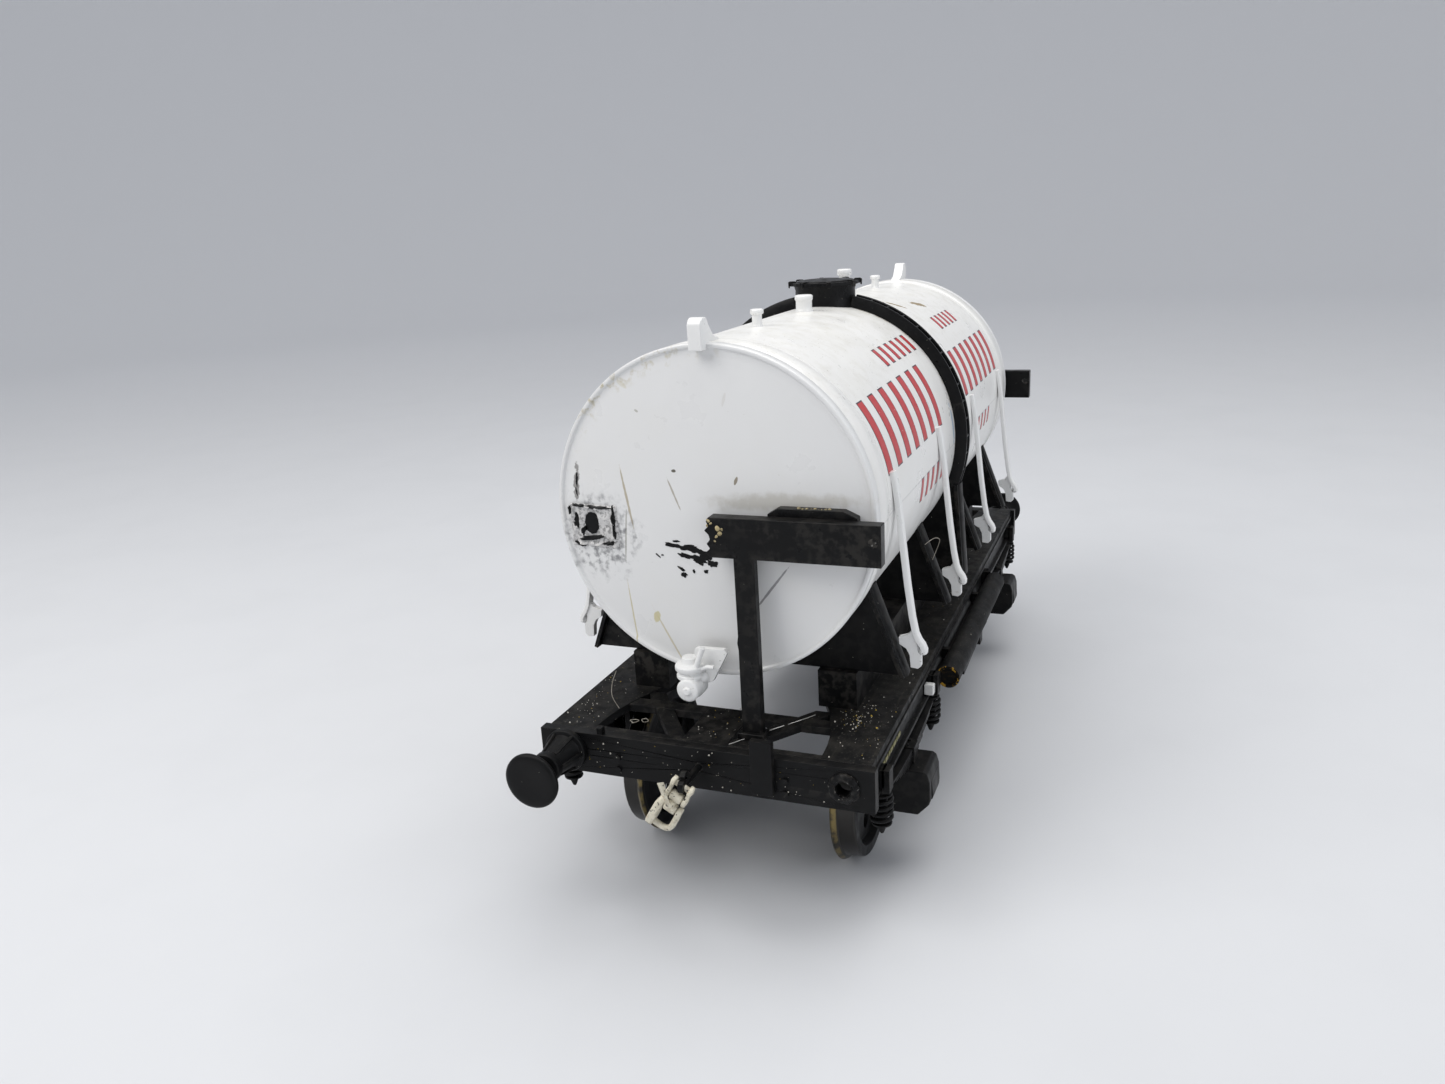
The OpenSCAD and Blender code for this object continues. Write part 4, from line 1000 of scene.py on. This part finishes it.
# ---------------------------------------------------------------- underframe
def make_deck():
    """Side plates with cross members, centre plates and braces in the opening between them."""
    half, wide = HEAD_X - HEAD_THICK, 23.2
    taper, inner, mid = 41, 16.3, 10
    thick = DECK_Z - DECK_UNDER
    deck = Shape()
    for side in (-1, 1):
        curve = [(taper + (half - 1.2 - taper) * k / 8, mid + (inner - mid) * math.sin(k * math.pi / 16))
                 for k in range(9)]
        edge = [(x, side * y) for x, y in curve + [(half, inner)]]
        deck.prism([(-half, side * wide), (half, side * wide)] + edge[::-1] + [(-x, y) for x, y in edge],
                   "Z", DECK_UNDER, thick)
    for end in (-1, 1):
        deck.block((end * half, -inner - 0.2, DECK_UNDER), (end * (half - 1.2), inner + 0.2, DECK_Z - 0.02))
        deck.block((end * 57 - 6.6, -3.3, DECK_UNDER), (end * 57 + 5, 3.3, DECK_Z - 0.05))
        for side in (-1, 1):
            brace = [(61.8, 2.4), (61.8, 5.1), (48.5, 14.6), (48.5, 11.6)]
            deck.prism([(end * x, side * y) for x, y in brace], "Z", DECK_UNDER, thick - 0.12)
    for x in (-52.4, -29, 0, 29, 52.4):
        deck.block((x - 1.2, -16, DECK_UNDER), (x + 1.2, 16, DECK_Z - 0.08))
    build("deck_frame", deck, "deck", "deck_plate", bevel=0.1)


def make_data_panels():
    """Blank olive panels on the solebars, where the wagon's data was printed."""
    panels = Shape()
    rng = random.Random(11)
    for side in (-1, 1):
        for x, stop, z in ((-61, -33, 22.9), (-58, -46, 21.7), (33, 58, 22.9)):
            while x < stop:
                length = rng.uniform(0.5, 1.5)
                panels.block((x, side * SOLEBAR_Y - 0.06, z - 0.3),
                             (x + length, side * SOLEBAR_Y + 0.06, z + 0.35))
                x += length + rng.uniform(0.25, 0.5)
    build("data_panels", panels, "olive", bevel=0.03)


def helix(shape, start, radius, wire, turns, length, axis):
    """A coil of wire along an axis from a point."""
    per_turn = 20
    points = []
    for i in range(int(turns * per_turn) + 1):
        angle = 2 * math.pi * i / per_turn
        along = length * i / (turns * per_turn)
        u, v = radius * math.cos(angle), radius * math.sin(angle)
        points.append(Vector(start) + Vector((along, u, v) if axis == "X" else (u, v, along)))
    shape.sweep(points, wire, up=(1, 0.01, 0) if axis == "X" else (0, 0.01, 1))


def make_hangers():
    """Brackets below the solebars with an open coil round a pointed bolt."""
    lo, hi = box_mm("spring_hangers")
    top = lo.z + 7.2
    hangers = Shape()
    for axle in (-AXLE_X, AXLE_X):
        for end in (-1, 1):
            for side in (-1, 1):
                x, y = axle + end * (hi.x - 1.1 - AXLE_X), side * SPRING_Y
                for near, far, foot in ((23.45, 24.55, top), (SOLEBAR_Y, 23.9, top + 0.75)):
                    hangers.block((x - 1.05, side * near, foot), (x + 1.05, side * far, top + 3.35))
                hangers.lathe([(0.7, 0), (0.85, 0.25), (1.6, 0.55), (2.2, 0.6), (2.25, 1.35),
                               (2.55, 1.4), (2.65, 0.85), (6.4, 0.85), (6.5, 1.4), (6.8, 1.4),
                               (6.9, 0.9), (7.3, 0.9), (7.3, 0)], (x, y, lo.z), "Z", 24)
                helix(hangers, (x, y, lo.z + 2.75), 1.34, 0.29, 4.2, 3.6, "Z")
    build("hanger_coils", hangers, "underframe", "spring_hangers")


def make_leaf_springs():
    base = box_mm("axleboxes")[1].z
    leaves = Shape()
    for axle, side in AXLE_SIDES:
        y = side * SPRING_Y
        for i in range(5):
            half, z = 13.4 - 2.4 * i, base + 0.46 * (4 - i)
            xs = [half * k / 8 for k in range(-8, 9)]
            outline = [(axle + x, z + 0.02 + 0.006 * x * x) for x in xs]
            outline += [(axle + x, z + 0.42 + 0.006 * x * x) for x in reversed(xs)]
            leaves.prism(outline, "Y", y - 0.9 + 0.03 * i, 1.8 - 0.06 * i)
        leaves.block((axle - 1.3, y - 1.15, base), (axle + 1.3, y + 1.15, base + 2.5))
        for x in (-0.8, 0.8):
            leaves.lathe([(0, 0), (0, 0.32), (0.35, 0.32), (0.45, 0)], (axle + x, y, base + 2.5), "Z", 6)
    build("leaf_stacks", leaves, "underframe", "leaf_springs", bevel=0.06)


def make_boxes():
    """Axleboxes with a lid on the chamfered outer face."""
    lo, hi = box_mm("axleboxes")
    half = (hi.x - lo.x) / 2 - AXLE_X
    body = [(20.6, hi.z), (26.1, hi.z), (26.65, hi.z - 0.35), (27.0, hi.z - 1.6), (27.1, lo.z + 2.6),
            (26.9, lo.z + 1.8), (25.3, lo.z), (20.6, lo.z)]
    lid = [(26.4, hi.z - 1.5), (27.05, hi.z - 1.7), (27.28, lo.z + 2.9), (27.2, lo.z + 2.2),
           (26.4, lo.z + 2.0)]
    boxes = Shape()
    for axle, side in AXLE_SIDES:
        for outline, inset in ((body, 0), (lid, 1.1)):
            boxes.prism([(side * y, z) for y, z in outline], "X", axle - half + inset,
                        2 * (half - inset))
    build("axlebox_set", boxes, "underframe", "axleboxes", bevel=0.22)


# ---------------------------------------------------------------- buffers
def good_buffers(shape):
    """The same shape at the near left buffer and at both far ones."""
    far = shape.mirrored("X")
    return shape, far, far.mirrored("Y")


def make_buffers():
    names = ("near_left", "far_left", "far_right")
    centre = (0, BUFFER_Y, BUFFER_Z)
    profile = [(0, 3.1), (-0.7, 3.1), (-0.85, 3.0), (-1.0, 2.55), (-1.3, 2.4), (-4.9, 1.86),
               (-5.05, 2.0), (-5.1, 2.15), (-6.05, 2.15), (-6.2, 2.0), (-6.2, 1.24), (-6.0, 1.16),
               (-1.2, 1.16), (-1.2, 1.5), (0, 1.5)]
    housing = Shape().lathe(moved(profile, -HEAD_X), centre)
    outline = moved([(-0.8, 2.2), (-0.8, 2.95), (-4.8, 2.05), (-4.8, 1.7)], -HEAD_X, BUFFER_Z)
    for i in range(6):
        rib = Shape().prism(outline, "Y", BUFFER_Y - 0.22, 0.44)
        housing.join(rib.turned(60 * i + 30, "X", centre))
    whole = Shape()
    for part in good_buffers(housing):
        whole.join(part)
    build("ribbed_housings", whole, "underframe", "buffer_housings", bevel=0.05)
    head = Shape()
    head.lathe([(0.16, 0), (0.12, 1.4), (0.03, 2.6), (0.02, 3.3), (0.1, 3.7), (0.3, 3.88),
                (0.55, 3.92), (0.8, 3.86), (0.92, 3.6), (1.05, 2.8), (1.3, 2.1), (1.6, 1.6),
                (1.9, 1.25), (2.1, 1.08), (5.8, 1.08), (5.8, 0.5), (11.65, 0.5), (11.65, 1.0),
                (12.3, 1.0), (12.4, 0.9), (12.4, 0)], (BUFFER_LO.x, BUFFER_Y, BUFFER_Z), "X", 72)
    for part, name in zip(good_buffers(head), names):
        short = name.replace("near_left", "near")
        build("head_" + short, part, "buffer", "buffer_head_" + short, "buffer_" + name, 0, 55)
    coil = Shape()
    helix(coil, (-HEAD_X - 4.15, BUFFER_Y, BUFFER_Z), 0.8, 0.16, 9, 4.1, "X")
    for part, name, side in zip(good_buffers(coil), names, (-1, 1, 1)):
        spring = build("coil_" + name.replace("near_left", "near"), part, "spring",
                       "buffer_springs" if side < 0 else "", bevel=0)
        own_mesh(spring)
    broken_stump()


def broken_stump():
    """What is left of the near right buffer's housing."""
    rng = random.Random(3)
    sides = 40
    verts = []
    for a, r, rough in ((0, 2.1, 0.1), (0.3, 2.05, 0.2), (0.42, 1.7, 0.3), (0.55, 1.4, 0.3),
                        (0.5, 1.12, 0), (-1.5, 1.1, 0)):
        for i in range(sides):
            angle = 2 * math.pi * i / sides
            jitter = [rng.uniform(low, high) if rough else 0 for low, high in
                      ((0, rough * 0.5), (-rough, rough), (-rough, rough))]
            verts.append((-HEAD_X - a - jitter[0],
                          -BUFFER_Y + (r + jitter[1] * 0.6) * math.cos(angle),
                          BUFFER_Z + (r + jitter[2] * 0.6) * math.sin(angle)))
    build("broken_stump", Shape().add(verts, ring_faces(6, sides, True)), "bare",
          "buffer_socket_near", bevel=0, crease=50)


# ---------------------------------------------------------------- couplings
def bar(shape, y0, y1, radius, z=0.0, sides=24):
    """A round bar across the coupling with softened ends."""
    soft = 0.12
    return shape.lathe([(y0, 0), (y0, radius - soft), (y0 + soft, radius), (y1 - soft, radius),
                        (y1, radius - soft), (y1, 0)], (0, 0, z), "Y", sides)


def make_couplings():
    """Hook, links, screw and shackle at each end. The near coupling leans to one side."""
    joints = {joint["name"]: joint for joint in frame["record"]["behaviour"]["joints"]}
    for end, sign in (("near", -1), ("far", 1)):
        pin = Vector(joints["link_%s_swing" % end]["pos_m"]) / MM
        drop = (Vector(joints["screw_%s_swing" % end]["pos_m"]) / MM - pin).length
        axis = Vector(joints["link_%s_swing" % end]["axis"])
        lean = math.degrees(math.atan2(axis.z, -sign * axis.y))

        def place(shape, lean=lean):
            """From the near coupling's upright place at the origin to its end of the wagon."""
            shape.turned(lean, "X", ORIGIN)
            if sign > 0:
                shape = shape.mirrored("X")
            shape.verts = [v + pin for v in shape.verts]
            return shape

        def casting(name, shape, body, replaces, **edges):
            build(name + end, shape, "cream", replaces and replaces + end, body + end, **edges)

        nut = abs(pin.x) - HEAD_X
        hook = Shape()
        hook.lathe([(0.4, 0), (0.4, 0.5), (5.3, 0.5), (5.35, 0.62), (5.6, 0.62), (5.62, 0.5)]
                   + moved([(5.35, 0.5), (5.4, 1.2), (6.1, 1.2), (6.2, 1.05), (6.2, 0)], nut),
                   ORIGIN, "X", 20)
        hook.prism([(1.4, 0.5), (-0.3, 0.85), (-0.75, 0.6), (-0.95, 0.1), (-0.85, -0.5),
                    (-0.4, -0.85), (0.5, -0.85), (1.4, -0.5)], "Y", -0.4, 0.8)
        hook.prism([(1.9, 0.3), (1.6, 1.2), (1.3, 1.6), (0.9, 1.75), (0.4, 1.7), (-0.1, 1.35),
                    (0.1, 1.05), (0.5, 1.2), (0.8, 1.0), (0.9, 0.3)], "Y", -0.38, 0.76)
        build("hook_" + end, place(hook, 0), "gloss_black", "drawhook_" + end, "hook_" + end, 0.1)

        link = bar(Shape(), -1.7, 1.7, 0.4, sides=20)
        for side in (-1, 1):
            for z in (0, -drop):
                eye = [(1.0, 0), (1.0, 0.68), (1.12, 0.76), (1.45, 0.76), (1.6, 0.64), (1.6, 0)]
                link.lathe([(side * y, r) for y, r in eye], (0, 0, z), "Y", 24)
            link.block((-0.42, side * 1.05, -drop), (0.42, side * 1.55, 0))
        casting("strap_link_", place(link), "upper_link_", "link_")

        screw = Shape()
        for z in (-drop, -2 * drop):
            bar(screw, -1.65, 1.65, 0.4, z)
            bar(screw, -0.85, 0.85, 0.72, z)
        thread = []
        for k in range(8):
            z = -2 * drop + drop * (k + 0.5) / 8
            thread += [(z - 0.09, 0.42), (z, 0.54), (z + 0.09, 0.42)]
        screw.lathe([(-2 * drop, 0)] + thread + [(-drop, 0)], ORIGIN, "Z", 20)
        middle = Vector((0, 0, -1.5 * drop))
        tommy = ((0, 0, 0), (-0.8, 0, 0.02), (-1.35, 0.1, 0.1), (-1.6, 0.35, 0.35), (-1.62, 0.9, 0.9),
                 (-1.6, 1.5, 1.5))
        screw.sweep([Vector(p) + middle for p in tommy], 0.33, up=(0.1, -0.7, 0.7))
        blade = Shape().prism([(-0.32, 1.7), (0.32, 1.7), (0.42, 2.6), (0.62, 3.3), (0.25, 3.5),
                               (-0.5, 3.8), (-0.42, 2.7)], "Y", -0.2, 0.4).turned(-45, "X", ORIGIN)
        blade.verts = [v + middle + Vector((-1.6, 0, 0)) for v in blade.verts]
        casting("screw_and_bar_", place(screw.join(blade)), "coupling_screw_", "screw_", bevel=0.07)

        z = -2 * drop
        half = [(0.72, 0), (1.0, -1.2), (1.2, -2.4), (1.1, -3.4), (0.65, -3.87)]
        outline = moved(half + [(0, -4.0)] + [(-x, low) for x, low in reversed(half)], 0, z)
        casting("shackle_casting_", place(Shape().prism(outline, "Y", 1.0, 1.1)), "coupling_shackle_",
                "", bevel=0.34)
        shackle = Shape()
        for y0, y1 in ((1.0, 1.9), (-1.7, -1.0)):
            bar(shackle, y0, y1, 0.76, z)
        loop = moved([(-1.35, -0.2), (-1.38, -1.4), (-1.36, -2.4), (-1.2, -2.9), (-0.8, -3.25),
                      (-0.2, -3.4), (0.6, -3.4), (1.4, -3.35)], 0, z)
        shackle.sweep([(0, y, low) for y, low in loop], 0.43, up=(1, 0, 0))
        casting("shackle_loop_", place(shackle), "coupling_shackle_", "shackle_", bevel=0, crease=60)

        back = HEAD_X - HEAD_THICK
        coil = Shape()
        helix(coil, (back - 3.75, 0, pin.z), 0.78, 0.15, 8, 3.7, "X")
        spring = build("draw_coil_" + end, coil.mirrored("X") if sign < 0 else coil, "spring",
                       "draw_springs" if end == "near" else "", bevel=0)
        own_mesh(spring)


# ---------------------------------------------------------------- end beams and valves
def make_near_beam():
    """The near beam's right half, broken off beside the post with glue on the break."""
    lo, hi = box_mm("end_beam_near")
    front, back = lo.x + 0.6, lo.x + 2.6
    base, top = 50.65, 56.05
    tip, inner = lo.y, hi.y
    beam = Shape()
    rng = random.Random(8)
    broken = [(inner + rng.uniform(-0.55, 0.25), base + (top - base) * k / 9) for k in range(10)]
    beam.prism([(tip, base), (inner - 0.5, base)] + broken[1:-1] + [(inner - 0.4, top), (tip, top)],
               "X", front, back - front)
    beam.prism([(-20.6, 51.6), (-20.6, 56.3), (-18.8, 57.1), (-10.2, 57.1), (-8.8, 56.3), (-8.8, 51.6)],
               "X", back - 0.1, 1.55)
    beam.prism([(-7.45, DECK_Z), (-4.6, DECK_Z), (-4.65, 38), (-4.5, 39), (-4.65, 40), (-4.6, 50.9),
                (-7.4, 50.9), (-7.45, 40)], "X", front, 1.4)
    beam.block((front + 1.2, -6.4, DECK_Z), (front + 2.0, -5.6, 50.6))
    beam.block((lo.x, -7.9, DECK_Z), (lo.x + 2.4, -4.1, DECK_Z + 0.85))
    build("near_beam", beam, "gloss_black", "end_beam_near", bevel=0.12)
    lumps = Shape()
    for inset, z, size in ((1.7, 54.6, 0.36), (1.95, 54.0, 0.3), (1.5, 53.6, 0.26), (2.2, 54.5, 0.2),
                           (0.8, 55.3, 0.2), (0.4, 55.6, 0.25), (0.3, 54.9, 0.2), (1.2, 52.9, 0.16)):
        lumps.ball((front + 0.1, inner - inset, z), size, 14)
    for k in range(9):
        lumps.ball((back + 0.4 + 0.5 * rng.random(), -16.9 + k * 0.5, 57.0),
                   0.16 + 0.12 * rng.random(), 10)
    lumps.verts = [v + noise.noise_vector(v * 1.7) * 0.16 for v in lumps.verts]
    build("beam_glue", lumps, "amber_glue", bevel=0, crease=80)


def make_beam_bolts():
    """Blank bolt heads in the beams' tips."""
    near, far = box_mm("end_beam_near"), box_mm("end_beam_far")
    inner, outer = -near[0].x - 2.6, -near[0].x - 0.6
    middle = far[1].z - 1.6 - 2.25
    bolts = Shape()
    places = [(near[0].x + 0.6, -1, near[0].y + 1, middle)]
    places += [(x, way, y, middle + 1.6) for x, way in ((inner, -1), (outer, 1))
               for y in (far[0].y + 1, far[1].y - 1)]
    for x, way, y, z in places:
        profile = [(-0.2, 0), (-0.2, 0.62), (0.08, 0.62), (0.2, 0.45), (0.24, 0)]
        bolts.lathe([(x + a * way, r) for a, r in profile][::way], (0, y, z), "X", 20)
    build("beam_bolts", bolts, "bare", bevel=0.02)


def make_valves():
    valves = Shape()
    x, y = box_mm("outlet_valves")[0].x + 2.7, 2.6
    body = [(30.4, 0), (30.4, 1.0), (30.6, 1.2), (31.8, 1.2), (32.0, 1.8), (32.15, 1.95),
            (32.6, 1.95), (32.75, 1.8), (32.85, 1.62), (33.05, 1.62), (33.2, 2.0), (33.35, 2.12),
            (33.85, 2.12), (34.05, 1.95), (34.25, 1.3), (34.5, 1.2), (35.0, 1.1), (35.1, 0)]
    valves.lathe(moved(body, 0.8), (x, y + 0.5, 0), "Z", 44)
    valves.lathe([(0.3, 0), (0.3, 0.9), (2.6, 0.9), (2.6, 0)], (x, y - 1.2, 34.5), "X", 24)
    valves.lathe([(-2.7, 0), (-2.68, 0.45), (-2.55, 0.58), (-2.35, 0.6), (-2.3, 1.3), (-2.2, 1.52),
                  (-2.05, 1.6), (-0.8, 1.6), (-0.65, 1.66), (-0.5, 1.75), (1.1, 1.75), (1.2, 0)],
                 (x, y + 0.2, 31.7), "X", 44)
    valves.ball((x + 0.3, y - 1.2, 32.9), 0.95, 20)
    valves.prism(moved([(0.2, 33.4), (-0.2, 36.9), (-0.5, 37.1), (-4.5, 37.2), (-4.95, 36.7),
                        (-2.7, 32.5), (-1, 31.7)], y), "X", x + 0.2, 0.8)
    for points, radius in ((((-0.9, -0.2, 33.4), (-0.95, -0.9, 35.2), (-1.0, -1.6, 36.9),
                             (-1.0, -1.9, 37.7)), 0.4),
                           (((-0.6, -1.2, 34.4), (-0.7, -2.4, 34.9), (-0.6, -3.2, 34.8)), 0.32)):
        valves.sweep([(x + dx, y + dy, z) for dx, dy, z in points], radius, up=(1, 0, 0))
    valves.join(valves.mirrored("X"))
    build("valve_castings", valves, "fitting", "outlet_valves", crease=40)


# ---------------------------------------------------------------- dust, wire and hairs
def smoothed(points, steps=6):
    """More points on a smooth curve through these ones."""
    smooth = []
    for i in range(len(points) - 1):
        p0, p1, p2 = points[max(i - 1, 0)], points[i], points[i + 1]
        p3 = points[min(i + 2, len(points) - 1)]
        for t in (k / steps for k in range(steps)):
            smooth.append(0.5 * (2 * p1 + (p2 - p0) * t + (2 * p0 - 5 * p1 + 4 * p2 - p3) * t * t
                                 + (3 * p1 - p0 - 3 * p2 + p3) * t ** 3))
    return smooth + [points[-1]]


def make_grit():
    """Grains and flakes lying on the deck and stuck to the near headstock."""
    rng = random.Random(21)
    white, yellow = Shape(), Shape()
    for k in range(360):
        shape = yellow if rng.random() < 0.2 else white
        if k < 90:
            at = (rng.gauss(-49.5, 2.2), -rng.gauss(18.3, 1.6), DECK_Z + 0.03)
        elif k % 4:
            x = rng.uniform(-62, 62) if rng.random() < 0.4 else rng.uniform(-62, -45)
            on_plates = rng.random() < 0.7
            y = rng.uniform(17.2, 22.6) * rng.choice((-1, 1)) if on_plates else rng.uniform(-3, 3)
            if abs(y) < 10 and not 51 < abs(x) < 61.5:
                continue
            at = (x, y, DECK_Z + 0.03)
        else:
            at = (-HEAD_X - 0.03, rng.uniform(-18, 18), rng.uniform(HEAD_LO.z + 0.4, HEAD_HI.z - 0.3))
        size = 0.04 + 0.10 * rng.random() ** 3
        grain = Shape().ball(at, size, 6)
        grain.verts = [Vector(at) + (v - Vector(at)) * 0.9 + noise.noise_vector(v * 9) * size * 0.5
                       for v in grain.verts]
        shape.join(grain)
    build("grit_pale", white, "grit_white", bevel=0, crease=80)
    build("grit_ochre", yellow, "grit_yellow", bevel=0, crease=80)
    hairs = Shape()
    for start, bends in (((-59.5, 11.6, DECK_Z + 0.1), ((0.3, 0.7, 0.2), (0.9, 0.3, 0.1), (0.6, -0.5, 0.2),
                                                        (-0.1, -0.5, 0.3), (-0.4, 0.1, 0.2))),
                         ((-58.9, 10.4, DECK_Z + 0.1), ((0.5, 0.5, 0.1), (0.8, -0.1, 0.2),
                                                        (0.3, -0.6, 0.1), (-0.3, -0.3, 0.2))),
                         ((-56, 15.6, 31.6), ((-0.4, 0.6, -1.8), (-0.9, 0.5, -3.6), (-0.8, -0.4, -5.4))),
                         ((-22, -21.5, 42.5), ((1.0, -1.2, 0.8), (2.4, -1.8, 0.2), (3.4, -1.2, -1.6),
                                               (3.8, -0.4, -3.6)))):
        hairs.sweep(smoothed([Vector(start)] + [Vector(start) + Vector(b) for b in bends]), 0.045)
    build("loose_hairs", hairs, "hair", bevel=0)
    wire = Shape()
    for points, radius in ((((-61.9, -3.6, 0.08), (-58.0, -6.4, 0.1), (-54.6, -8.9, 0.06)), 0.07),
                           (((-54.1, -9.3, 0.05), (-51.2, -11.4, 0.04), (-50.2, -12.0, 0.03)), 0.06)):
        wire.sweep([(x, y, DECK_Z + up) for x, y, up in points], radius)
    build("brace_wire", wire, "wire", bevel=0)


for make in (make_camera, make_stage, make_tank, make_band, make_manhole, make_roof_fittings,
             make_markings, make_damage, make_cradles, make_rods, make_anchors, make_deck,
             make_data_panels, make_hangers, make_leaf_springs, make_boxes, make_buffers,
             make_couplings, make_near_beam, make_beam_bolts, make_valves, make_grit):
    make()
for look, nodes in (("cradle", "bearers"),
                    ("underframe", "solebar_left solebar_right headstock_near headstock_far"),
                    ("underframe", "headstock_bolts axleguards"), ("brass", "bearing_cups"),
                    ("steel", "axle_near"), ("wheel", "wheels_near"), ("steel", "axle_far"),
                    ("wheel", "wheels_far"), ("reservoir", "reservoirs"),
                    ("underframe", "brake_shoes brake_shaft brake_levers"),
                    ("gloss_black", "end_beam_far"), ("underframe", "vacuum_pipe_brackets"),
                    ("spring", "fixing_screws"), ("lead", "ballast_weight")):
    for node in nodes.split():
        refine(node, look)
